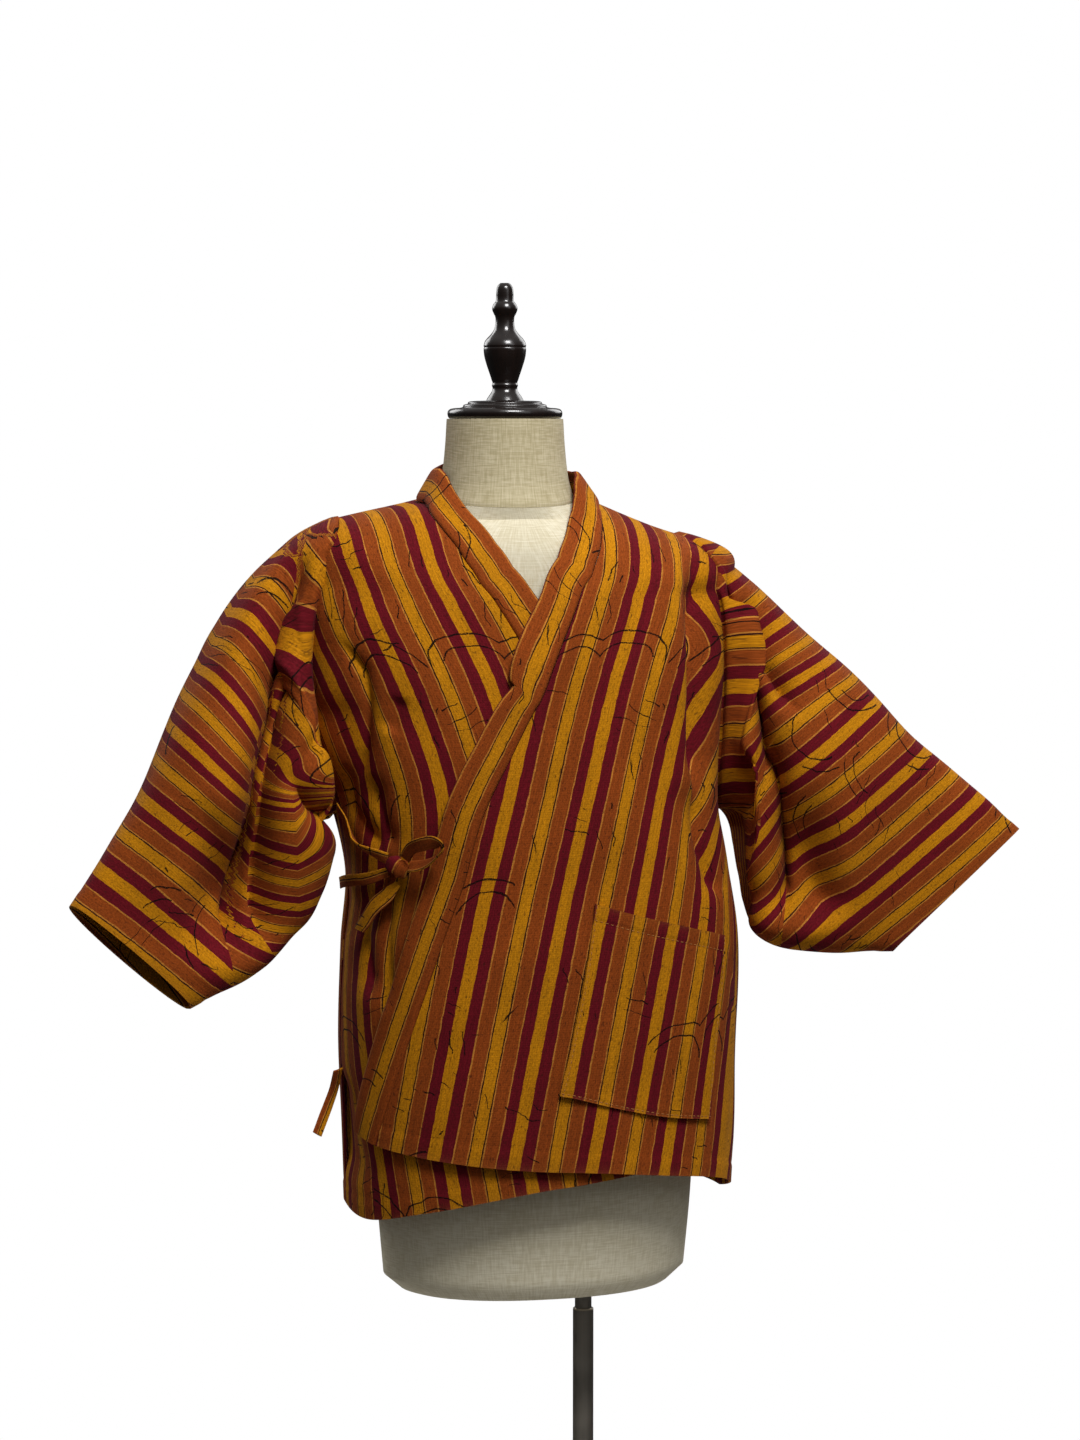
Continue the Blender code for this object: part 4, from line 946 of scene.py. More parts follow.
def make_shell(name: str, inner: Array, outer: Array, quads: Array, weave: Array, finish: Material,
               wear: Array, beyond: tuple[Array, Array] | None = None) -> Object:
    """Close a cloth shell: two faces over the same quads, and a rim along every open edge.

    Args:
        name: the object's name.
        inner: points of the face towards the wearer.
        outer: points of the outer face, in the same order.
        quads: vertex numbers of the quads.
        weave: the cloth coordinates of each point.
        finish: its material.
        wear: how rubbed each point is.
        beyond: the cloth coordinates that hold past a fold, and the distance past it.

    Returns:
        The new object.
    """
    points = np.vstack([outer.reshape(-1, 3), inner.reshape(-1, 3)])
    count = len(points) // 2
    edges = np.concatenate([quads[:, (a, (a + 1) % 4)] for a in range(4)])
    _, first, uses = np.unique(np.sort(edges, axis=1), axis=0, return_index=True, return_counts=True)
    start, end = edges[first[uses == 1]].T
    rim = np.stack([end, start, start + count, end + count], axis=1)
    faces = np.concatenate([quads, quads[:, ::-1] + count, rim])
    if enclosed_volume(points, faces) < 0.0:
        faces = faces[:, ::-1]
    if beyond is not None:
        beyond = (np.vstack([beyond[0].reshape(-1, 2)] * 2), np.tile(beyond[1].ravel(), 2))
    return make_piece(name, points, faces.tolist(), np.vstack([weave.reshape(-1, 2)] * 2), finish,
                      np.tile(wear.ravel(), 2), beyond=beyond)


@dataclass(frozen=True)
class PanelGrain:
    """How the stripes lie on one body panel.

    A line on the front, read off by height, is one stripe's edge. The distance round from it, across
    the cloth, is the coordinate across the stripes; over the shoulder, where a ring runs along the
    stripes, only its run on X counts. The back's line drops straight from the same place.
    """

    side: Side
    line: tuple
    starts_at: float
    fold: tuple = ()
    past_fold: tuple = ()
    level_count: int = 158
    turn_count: int = 541
    joint: float = 0.007
    depth_counts_to: float = 1.300
    ridge_height: float = 1.350

    def coordinates(self, angles: Array, heights: Array) -> Array:
        """Cloth coordinates at places on the panel.

        Args:
            angles: degrees round from the front.
            heights: nominal heights.

        Returns:
            The distance across the stripes and along them, in metres, on a last axis.
        """
        side = self.side.value
        levels = np.linspace(BODY_RINGS[0][0], NECK_HEIGHT, self.level_count)
        turns = np.linspace(-90.0, 180.0, self.turn_count)
        place = SURFACE.point(side * turns[None, :], levels[:, None])
        step = np.diff(place, axis=1)
        count_depth = 1.0 - smooth_step((levels - self.depth_counts_to)
                                        / (SHOULDER_HEIGHT - self.depth_counts_to))[:, None]
        run = np.sqrt(step[..., 0] ** 2 + count_depth * step[..., 1] ** 2)
        run = np.where(turns[None, 1:] <= 90.0, run, -run)
        reach = np.concatenate([np.zeros((len(levels), 1)), np.cumsum(run, axis=1)], axis=1)
        outward = side * place[..., 0]
        front = turns <= 90.0
        line = smooth_rows(self.line, levels)
        top = smooth_rows(self.line, np.maximum(levels, SHOULDER_HEIGHT))
        zero_front = np.array([np.interp(side * x, out[front], far[front])
                               for x, out, far in zip(line[:, 0], outward, reach)])
        zero_back = np.array([np.interp(side * x, out[~front][::-1], far[~front][::-1])
                              for x, out, far in zip(top[:, 0], outward, reach)])
        # Where a ring is too narrow for its line, the line lies past its end.
        widest = outward.max(axis=1)
        zero_front = zero_front + np.maximum(side * line[:, 0] - widest, 0.0)
        zero_back = zero_back + np.maximum(side * top[:, 0] - widest, 0.0)
        lean = np.cos(np.radians(line[:, 1]))
        across = np.where(front[None, :], (reach - zero_front[:, None]) * lean[:, None],
                          reach - zero_back[:, None]) + self.starts_at
        if self.fold:
            # Past the fold the stripes lean over towards the sleeve.
            x_zero, z_zero, value, per_x, per_z = self.past_fold
            leaning = value + per_x * (place[..., 0] - x_zero) + per_z * (place[..., 2] - z_zero)
            fold = smooth_rows(self.fold, levels)
            past = smooth_step((place[..., 0] - fold[:, :1]) / self.joint) * fold[:, 1:] * front[None, :]
            across = across + (leaning - across) * past
        climb = np.hypot(*np.moveaxis(np.diff(place, axis=0)[..., 1:], -1, 0))
        climb = np.vstack([np.zeros((1, len(turns))), np.cumsum(climb, axis=0)])
        # Over the shoulder's ridge the stripes run on down the back.
        ridge = climb[np.argmin(np.abs(levels - self.ridge_height)), turns == 90.0]
        along = np.where(front[None, :], climb, 2.0 * ridge - climb)
        return self.read(levels, turns, np.stack([across, along], axis=-1), heights, side * angles)

    @staticmethod
    def read(levels: Array, turns: Array, table: Array, heights: Array, angles: Array) -> Array:
        """Read a table at any height and angle, in straight lines between its rows and columns.

        Args:
            levels: the heights of the table's rows, evenly spaced.
            turns: the angles of its columns, evenly spaced.
            table: the values, on a last axis.
            heights: the heights to read at.
            angles: the angles to read at.

        Returns:
            The values there, on a last axis.
        """
        row = np.clip((heights - levels[0]) / (levels[1] - levels[0]), 0.0, len(levels) - 1.001)
        column = np.clip((angles - turns[0]) / (turns[1] - turns[0]), 0.0, len(turns) - 1.001)
        low, left = row.astype(int), column.astype(int)
        # The front and the back read apart at the side, where their coordinates differ.
        at_side = (turns[left] <= 90.0) & (turns[left + 1] > 90.0)
        left = np.where(at_side & (angles > 90.0), left + 1, np.where(at_side, left - 1, left))
        up, over = (row - low)[..., None], np.clip(column - left, 0.0, 1.0)[..., None]
        return ((table[low, left] * (1 - over) + table[low, left + 1] * over) * (1 - up)
                + (table[low + 1, left] * (1 - over) + table[low + 1, left + 1] * over) * up)


@dataclass(frozen=True)
class BodyPanel:
    """One body panel, a single cloth from the front hem over the shoulder to the back hem."""

    side: Side
    edge: tuple
    hem: tuple
    grain: PanelGrain
    creases: tuple
    cells_below: int = 100
    cells_beside: int = 96
    cells_over: int = 26
    cells_front: int = 112
    cells_back: int = 56
    hem_depth: float = 0.018
    slack: float = 0.0010
    slack_top: float = 1.345
    seed: int = 3

    @property
    def name(self) -> str:
        """The node that the panel stands for."""
        return "body_left" if self.side is Side.LEFT else "body_right"

    def lift(self, angles: Array, heights: Array) -> Array:
        """The left panel's lift over the right front, fading at the side, the back and the shoulder.

        Args:
            angles: degrees round from the front.
            heights: nominal heights.

        Returns:
            The lift at each place.
        """
        if self.side is Side.RIGHT:
            return np.zeros(np.broadcast(angles, heights).shape)
        # It fades over the 40 degrees past 70, and over the 75 mm below the neck.
        at_side = smooth_step((angles - 70.0) / 40.0)
        at_top = smooth_step((heights - 1.310) / 0.075)
        return OVERLAP_LIFT * (1.0 - at_side) * (1.0 - at_top)

    def row_heights(self) -> Array:
        """Nominal heights of the rows: even below the armpit, closer near the shoulder point.

        Returns:
            The heights, from the hem up.
        """
        below = np.linspace(BACK_HEM_HEIGHT, ARMPIT_HEIGHT, self.cells_below + 1)
        share = np.linspace(1.0, 0.0, self.cells_beside + 1) ** BESIDE_CROWDING
        beside = SHOULDER_HEIGHT - (SHOULDER_HEIGHT - ARMPIT_HEIGHT) * share
        share = np.linspace(1.0, 0.0, self.cells_over + 1) ** OVER_CROWDING
        over = NECK_HEIGHT - (NECK_HEIGHT - SHOULDER_HEIGHT) * share
        return np.concatenate([below, beside[1:], over[1:]])

    def side_angle(self, heights: Array, is_front: bool) -> Array:
        """The angle of the side edge: half a seam gap from 90, or the armhole's edge.

        Args:
            heights: nominal heights.
            is_front: whether it is the front's edge or the back's.

        Returns:
            Degrees round from the front.
        """
        half_angle = smooth_rows(ARMHOLE, heights)[..., 0]
        gap = np.where(heights < SHOULDER_HEIGHT - 1e-6, SIDE_SEAM_ANGLE, 0.0)
        beside = (heights > ARMPIT_HEIGHT) & (heights < SHOULDER_HEIGHT)
        opening = np.where(beside, half_angle, 0.0) + gap
        return 90.0 - opening if is_front else 90.0 + opening

    def front_grid(self) -> tuple[Array, Array]:
        """The front's grid, with the rows below the armpit hung down to the hem.

        Returns:
            Angles and heights.
        """
        across = np.linspace(0.0, 1.0, self.cells_front + 1)
        rows, hem = self.row_heights()[:, None], smooth_rows(self.hem, across)[..., 0][None, :]
        share = (ARMPIT_HEIGHT - rows) / (ARMPIT_HEIGHT - BACK_HEM_HEIGHT)
        heights = np.where(rows < ARMPIT_HEIGHT, ARMPIT_HEIGHT - share * (ARMPIT_HEIGHT - hem), rows)
        side = self.side.value
        seam = side * smooth_rows(self.edge, heights)[..., 0]
        return side * (seam + (self.side_angle(heights, True) - seam) * across), heights

    def back_grid(self) -> tuple[Array, Array]:
        """The back's grid, from the side seam round to the centre back seam.

        Returns:
            Angles and heights.
        """
        across = np.linspace(0.0, 1.0, self.cells_back + 1)
        heights = np.repeat(self.row_heights()[:, None], len(across), axis=1)
        start = self.side_angle(heights, False)
        return self.side.value * (start + (CENTRE_BACK_ANGLE - start) * across), heights

    def laid(self, angles: Array, heights: Array, extra: Array | float = 0.0) -> tuple[Array, Array]:
        """Points of the panel's inner face and their outward directions."""
        return SURFACE.laid(angles, heights, self.lift(angles, heights) + extra, self.creases)

    def armhole(self) -> tuple[Array, Array, Array]:
        """The armhole's edge, from the shoulder point down the front and up the back.

        Returns:
            Points, their outward directions and the directions into the hole.
        """
        rows = slice(self.cells_below, self.cells_below + self.cells_beside + 1)
        front, back = self.front_grid(), self.back_grid()
        front_edge = [values[rows, -1][::-1] for values in front]
        back_edge = [values[rows, 0][1:-1] for values in back]
        points, normals = self.laid(*(np.concatenate(pair) for pair in zip(front_edge, back_edge)))
        along = unit(np.roll(points, -1, axis=0) - np.roll(points, 1, axis=0))
        return points, normals, unit(np.cross(normals, along)) * self.side.value

    def build(self, finish: Material) -> Object:
        """Build the panel: its front and back grids share the points over the shoulder.

        Args:
            finish: the cloth's material.

        Returns:
            The new object.
        """
        front, back = self.front_grid(), self.back_grid()
        over = len(self.row_heights()) - 1 - self.cells_over
        front_index = np.arange(front[0].size).reshape(front[0].shape)
        back_index = np.arange(back[0].size).reshape(back[0].shape) + front[0].size
        back_index[over:, 0] = front_index[over:, -1]
        angles, heights = (np.concatenate([a.ravel(), b.ravel()]) for a, b in zip(front, back))
        weave = self.grain.coordinates(angles, heights)
        above_hem = heights - np.concatenate([np.broadcast_to(grid[:1], grid.shape).ravel()
                                              for grid in (front[1], back[1])])
        # The slack fades out over 50 mm at the hem and below the shoulder.
        slack = soft_waves(weave, self.slack, self.seed) * smooth_step(above_hem / 0.05)
        slack = slack * smooth_step((self.slack_top - heights) / 0.05)
        points, normals = self.laid(angles, heights, slack)
        thickness = CLOTH_THICKNESS + turned_hem(above_hem, self.hem_depth, 0.0007)
        outer = points + normals * thickness[:, None]
        wear = np.exp(-above_hem / WEAR_REACH)
        weave[:, 0] += sum_creases(Crease.shift, points, np.cos(np.radians(angles)) > 0.0, self.creases)
        quads = np.concatenate([grid_quads(front_index), grid_quads(back_index)])
        used, quads = np.unique(quads, return_inverse=True)
        piece = make_shell(f"{self.name}_cloth", points[used], outer[used], quads.reshape(-1, 4), weave[used],
                           finish, wear[used])
        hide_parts(self.name)
        return piece


@dataclass(frozen=True)
class GrainStrip:
    """A strip of a sleeve's front between two upright lines, with a stripe coordinate at each.

    Between the lines the coordinate runs straight, less a bow that is full half way.
    """

    rows: tuple
    bow: float = 0.0

    def read(self, aside: Array, height: Array) -> tuple[Array, Array]:
        """Read the strip's near line and its stripe coordinate.

        Args:
            aside: how far to the left of the middle the points look from the front.
            height: their heights.

        Returns:
            Where the strip starts, and the coordinate across the stripes, both in metres.
        """
        near, far, near_across, far_across = smooth_columns(self.rows, height)
        share = (aside - near) / np.maximum(far - near, 0.004)
        bow = self.bow * 4.0 * np.clip(share * (1.0 - share), -0.1, 1.0)
        return near, (near_across + (far_across - near_across) * share) / 1000.0 - bow


@dataclass(frozen=True)
class SleeveGrain:
    """How the stripes lie on a sleeve: strip by strip on the front, straight across on the back.

    The strips meet in the deep folds, where the cloth that a fold swallows makes the stripes jump.
    """

    strips: tuple
    outer: int
    lean: float
    joint: float = 0.012
    back_along: float = 0.9

    def coordinates(self, points: Array, is_front: Array) -> tuple[Array, Array, Array]:
        """Cloth coordinates at points of the sleeve, before and past the nearest fold.

        Further than joint from every fold both are those of the point's own strip.

        Args:
            points: points of the sleeve's wall.
            is_front: which of them are on the front wall.

        Returns:
            Both sets of the distance across the stripes and along them, in metres, on a last axis,
            and the distance past the nearest fold.
        """
        aside = LOOK[0] * points[..., 0] + LOOK[1] * points[..., 1]
        height = points[..., 2]
        own = self.strips[0].read(aside, height)[1]
        before, after, past = own, own, np.full(own.shape, -np.inf)
        for strip_before, strip in zip(self.strips[:-1], self.strips[1:]):
            near, across = strip.read(aside, height)
            distance = aside - near
            own = np.where(distance > 0.0, across, own)
            nearer = np.abs(distance) < np.abs(past)
            meets = nearer & (np.abs(distance) < self.joint)
            before = np.where(meets, strip_before.read(aside, height)[1], np.where(nearer, own, before))
            after = np.where(meets, across, np.where(nearer, own, after))
            past = np.where(nearer, distance, past)
        columns = smooth_columns(self.strips[self.outer].rows, height)
        edge, edge_across = columns[::2] if self.outer == 0 else columns[1::2]
        back = edge_across / 1000.0 + self.lean * (aside - edge)
        slanting = self.lean * height - aside
        along = np.where(is_front, slanting, self.back_along - slanting)
        before, after = (np.stack([np.where(is_front, front, back), along], axis=-1)
                         for front in (before, after))
        return before, after, past


@dataclass(frozen=True)
class Sleeve:
    """A tapered sleeve: a tube of rings from the armhole's edge to an open cuff."""

    side: Side
    table: tuple
    panel: BodyPanel
    grain: SleeveGrain
    creases: tuple
    rings_per_section: int = 14
    fullness: float = 0.42
    blend_stations: float = 3.0
    hem_depth: float = 0.016
    stand_off: float = 0.004
    slack: float = 0.0012
    seed: int = 5

    @property
    def name(self) -> str:
        """The node that the sleeve stands for."""
        return "sleeve_left" if self.side is Side.LEFT else "sleeve_right"

    @staticmethod
    def normals(rings: Array) -> Array:
        """Outward directions on a tube of rings, from the neighbours round and along.

        Args:
            rings: the rings' points.

        Returns:
            Unit directions.
        """
        round_step = np.roll(rings, -1, axis=1) - np.roll(rings, 1, axis=1)
        normals = unit(np.cross(round_step, np.gradient(rings, axis=0)))
        outward = rings - rings.mean(axis=1, keepdims=True)
        return normals * np.sign(np.sum(normals * outward))

    def rings(self) -> tuple[Array, Array, Array, Array, Array]:
        """Rings of the wall's middle: sections between a top and a bottom edge, bulged both ways.

        Near the armhole they pass over to its edge, which they leave straight out.

        Returns:
            Points, outward directions, stations, which points of a ring are on the front, and where
            the points lie before the creases are pressed in.
        """
        hole_points, hole_normals, into_hole = self.panel.armhole()
        seat = hole_points + into_hole * (SEAM_GAP + CLOTH_THICKNESS / 2)
        stand = seat + hole_normals * self.stand_off
        half = self.panel.cells_beside
        share_down = np.linspace(0.0, 1.0, half + 1) ** BESIDE_CROWDING
        down = np.concatenate([share_down, share_down[1:-1][::-1]])
        is_front = np.arange(2 * half) <= half
        station = np.linspace(0.0, self.table[-1][0], self.rings_per_section * (len(self.table) - 1) + 1)
        columns = smooth_rows(self.table, station)
        top, bottom, bulges = columns[:, 0:3], columns[:, 3:6], columns[:, 6:8]
        axis = unit(np.gradient((top + bottom) / 2, axis=0))
        forward = unit(np.cross(top - bottom, axis)) * -self.side.value
        shape = (4.0 * down * (1.0 - down)) ** self.fullness
        bulge = np.where(is_front, bulges[:, 0:1], -bulges[:, 1:2]) * shape
        rings = (top[:, None, :] + (bottom - top)[:, None, :] * down[None, :, None]
                 + carry(forward, bulge))
        blend = np.clip(1.0 - station / self.blend_stations, 0.0, 1.0) ** 2
        rings = rings + blend[:, None, None] * (stand - rings[0])[None]
        normals = self.normals(rings)
        fade = smooth_step((station - 0.35) / 1.0)[:, None] * smooth_step(down / 0.12)[None, :]
        move = sum_creases(Crease.press, rings, is_front[None, :], self.creases) * fade
        plain = rings
        rings = rings + normals * move[..., None]
        # Half of the cloth's thickness lies between the wall's middle and its inner face.
        rings = SURFACE.clear(rings[1:], smooth_rows(SLEEVE_CLEARANCE, station[1:]) + CLOTH_THICKNESS / 2)
        rings = np.concatenate([seat[None], rings])
        normals = self.normals(rings)
        normals[0] = -into_hole
        normals[1:3] = unit(normals[1:3] - into_hole[None])
        return rings, normals, station, is_front, plain

    def build(self, finish: Material) -> Object:
        """Build the sleeve's shell.

        Args:
            finish: the cloth's material.

        Returns:
            The new object.
        """
        rings, normals, station, is_front, plain = self.rings()
        weave, past_weave, past = self.grain.coordinates(plain, is_front[None, :])
        from_cuff = np.linalg.norm(rings - rings[-1:], axis=-1)
        slack = soft_waves(rings[..., (0, 2)], self.slack, self.seed) * smooth_step(from_cuff / 0.04)
        slack = slack * smooth_step(station / 1.5)[:, None]
        middle = rings + normals * slack[..., None]
        half = CLOTH_THICKNESS / 2
        inner = middle - normals * half
        outer = middle + normals * (half + turned_hem(from_cuff, self.hem_depth, 0.0006))[..., None]
        index = np.arange(from_cuff.size).reshape(from_cuff.shape)
        quads = grid_quads(np.concatenate([index, index[:, :1]], axis=1))
        piece = make_shell(f"{self.name}_cloth", inner, outer, quads, weave, finish,
                           np.exp(-from_cuff / WEAR_REACH), (past_weave, past))
        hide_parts(self.name)
        return piece


@dataclass(frozen=True)
class NeckBand:
    """The band: one folded strip up the left front, round the neck and down the right front."""

    left: BodyPanel
    right: BodyPanel
    width: float = 0.0375
    seat: float = 0.0026
    leaves_chest: float = 1.200
    flat_from: float = 1.300
    stands_from: float = 1.335
    top_radius: float = 0.069
    rise: float = 0.030
    cells: int = 30
    stripe_at: float = 0.0318
    slack: float = 0.0003
    seed: int = 11

    def standing(self, seam: Array) -> Array:
        """The way the standing band goes from its seam: up, and in to its top radius.

        Args:
            seam: points of the seam.

        Returns:
            Unit directions.
        """
        inward = np.array([*NECK_CENTRE, 0.0]) - seam * (1.0, 1.0, 0.0)
        lean = np.linalg.norm(inward, axis=-1, keepdims=True) - self.top_radius
        return unit(unit(inward) * lean + np.array([0.0, 0.0, self.rise]))

    def half(self, panel: BodyPanel) -> Array:
        """Rows across half of the band, from its hem up the front and round to the centre back.

        Each row is square to the seam. On the chest it follows the body surface, then it turns
        straight, and round the neck it stands up.

        Args:
            panel: the body panel that the half is sewn to.

        Returns:
            A grid of points, a row to each place along the seam.
        """
        side = panel.side.value
        across = np.linspace(0.0, 1.0, self.cells + 1)[None, :]
        grid = panel.front_grid()
        angles, heights = grid[0][:, 0], grid[1][:, 0]
        seam_front = panel.laid(angles, heights)[0]
        round_angles = side * np.concatenate([np.linspace(NECK_START_ANGLE, 90.0, 7)[1:],
                                              np.linspace(90.0, CENTRE_BACK_ANGLE, 40)[1:]])
        seam_round = panel.laid(round_angles, np.full(len(round_angles), NECK_HEIGHT))[0]
        along = unit(np.gradient(seam_front, axis=0))
        square = unit(np.cross(along, SURFACE.normal(angles, heights))) * -side
        turn, climb = SURFACE.shift(angles, heights, square)
        chest = across * (self.width - SEAM_GAP) + SEAM_GAP
        on_chest = panel.laid(angles[:, None] + turn[:, None] * chest,
                              heights[:, None] + climb[:, None] * chest)[0]
        flat = smooth_step((heights - self.leaves_chest) / (self.flat_from - self.leaves_chest))
        stand = smooth_step((heights - self.stands_from) / (NECK_HEIGHT - self.stands_from))[:, None]
        straight = unit(square * (1.0 - stand) + self.standing(seam_front) * stand)
        seat = np.array([0.0, 0.0, self.seat])
        straight = (seam_front + seat * stand)[:, None, :] + carry(straight, chest)
        front = on_chest * (1.0 - flat[:, None, None]) + straight * flat[:, None, None]
        standing = (seam_round + seat)[:, None, :] + carry(self.standing(seam_round), chest)
        return np.vstack([front, standing])

    def build(self, finish: Material) -> Object:
        """Build the band, plump in the middle and thin at its seam and its folded edge.

        Args:
            finish: the cloth's material.

        Returns:
            The new object.
        """
        left, right = self.half(self.left), self.half(self.right)
        rows = np.vstack([left, right[-2::-1]])
        normals = unit(np.cross(np.gradient(rows, axis=0), np.gradient(rows, axis=1)))
        probe = len(self.left.row_heights()) // 2
        middle = rows[probe, 0]
        normals *= np.sign(np.dot(normals[probe, 0], middle - np.array([*NECK_CENTRE, middle[2]])))
        share = np.linspace(-1.0, 1.0, self.cells + 1)[None, :]
        plump = BAND_THICKNESS * (1.0 - 0.75 * np.abs(share) ** 9)
        length = run_along(rows[:, self.cells // 2])[:, None]
        far = np.linspace(0.0, self.width, self.cells + 1)[None, :]
        weave = np.stack(np.broadcast_arrays(self.stripe_at + self.width - far, length), axis=-1)
        plump = plump + soft_waves(weave, self.slack, self.seed)
        wear = np.broadcast_to(np.exp(-(self.width - far) / 0.0015), plump.shape)
        outer = rows + normals * plump[..., None]
        index = np.arange(plump.size).reshape(plump.shape)
        piece = make_shell("neck_band_cloth", rows, outer, grid_quads(index), weave, finish, wear)
        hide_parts("neck_band")
        return piece


@dataclass(frozen=True)
class Stitching:
    """Running stitches of sewing thread: each one a small bent rod lying on the cloth."""

    length: float = 0.0034
    pitch: float = 0.0056
    radius: float = 0.00032
    rings: int = 5
    sides: int = 6

    def spots(self, line: Array, normals: Array) -> tuple[Array, Array, Array]:
        """Even places along a line.

        Args:
            line: points of the line.
            normals: outward directions along it.

        Returns:
            Points, unit directions along the line, and outward directions.
        """
        run = run_along(line)
        places = np.arange(self.pitch / 2, run[-1], self.pitch)
        points, ahead = (np.stack([np.interp(at, run, line[:, axis]) for axis in range(3)], axis=-1)
                         for at in (places, places + 0.001))
        even, own = np.linspace(0, 1, len(points)), np.linspace(0, 1, len(normals))
        out = np.stack([np.interp(even, own, normals[:, axis]) for axis in range(3)], axis=-1)
        return points, unit(ahead - points + 1e-9), out

    def build(self, name: str, lines: list[tuple[Array, Array]], finish: Material) -> Object:
        """Build all stitches of a piece: rings of points along a shallow arch, closed at the ends.

        Args:
            name: the object's name.
            lines: the sewing lines, each with outward directions along it.
            finish: the thread's material.

        Returns:
            The new object.
        """
        middle, along, out = (np.concatenate(part)[:, None, None, :]
                              for part in zip(*(self.spots(*line) for line in lines)))
        out = unit(out - along * np.sum(out * along, axis=-1, keepdims=True))
        aside = np.cross(out, along)
        share = np.linspace(-1.0, 1.0, self.rings)[:, None, None]
        size = self.radius * np.sqrt(np.clip(1.0 - (np.abs(share) * 0.97) ** 4, 0.0, 1.0))
        turn = np.linspace(0.0, math.tau, self.sides, endpoint=False)[None, :, None]
        arch = self.radius * 0.9 * (1.0 - share ** 2)
        points = (middle + along * (share * self.length / 2) + out * (arch + size * np.sin(turn))
                  + aside * (size * np.cos(turn)))
        stitch = tube_faces(points[0])
        faces = [[corner + first for corner in face]
                 for first in range(0, points[..., 0].size, self.rings * self.sides) for face in stitch]
        return make_piece(name, points, faces, points[..., (0, 2)], finish)


@dataclass(frozen=True)
class PatchPocket:
    """The patch pocket on the left front: turned edges, a top hem, and a mouth that stands off."""

    panel: BodyPanel
    cells: int = 72
    size: tuple = (0.128, 0.185)
    top_hem: float = 0.016
    side_hem: float = 0.009
    stitch_line: float = 0.0022
    mouth_gap: float = 0.0016
    thickness: float = 0.0018
    phase: float = 0.0385
    slack: float = 0.0004
    seed: int = 7

    def build(self, finish: Material, thread: Material) -> Object:
        """Build the pocket from the panel's own surface, moved out, and sew it on.

        Args:
            finish: the cloth's material.
            thread: the thread's material.

        Returns:
            The new object.
        """
        across = np.linspace(0.0, 1.0, self.cells + 1)[None, :]
        down = across.T
        top_angle, top_height, bottom_angle, bottom_height = smooth_columns(POCKET_EDGES, across)
        angles = top_angle + (bottom_angle - top_angle) * down
        heights = top_height + (bottom_height - top_height) * down
        below_top = top_height - heights
        mouth = self.mouth_gap * np.exp(-below_top / 0.018) * np.sin(np.pi * across) ** 0.6
        weave = self.panel.grain.coordinates(angles, heights)
        weave[..., 0] += self.phase
        # Twice the clearance keeps the slack of both cloths apart.
        lift = CLOTH_THICKNESS + 2 * POCKET_CLEARANCE + mouth + soft_waves(weave, self.slack, self.seed)
        inner, normals = self.panel.laid(angles, heights, lift)
        edge = np.minimum(np.minimum(across, 1.0 - across) * self.size[0], (1.0 - down) * self.size[1])
        # Turned edges and the top hem are thicker, and their stitch lines draw the cloth in.
        turned = (0.0005 * smooth_step((self.side_hem - edge) / 0.002)
                  - 0.0006 * bell(edge - self.stitch_line, 0.0011)
                  + 0.0005 * smooth_step((self.top_hem - below_top) / 0.002)
                  - 0.0007 * bell(below_top - self.top_hem, 0.0013))
        outer = inner + normals * (self.thickness + turned)[..., None]
        wear = np.maximum(np.exp(-edge / 0.0018), np.exp(-below_top / 0.0025))
        index = np.arange(angles.size).reshape(angles.shape)
        piece = make_shell("patch_pocket_cloth", inner, outer, grid_quads(index), weave, finish, wear)
        hem_row = int(round(self.top_hem / self.size[1] * self.cells))
        lines = [(outer[place], normals[place]) for place in (hem_row, np.s_[:, 1], -2, np.s_[:, -2])]
        stitches = Stitching().build("patch_pocket_stitches", lines, thread)
        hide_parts("patch_pocket")
        return piece


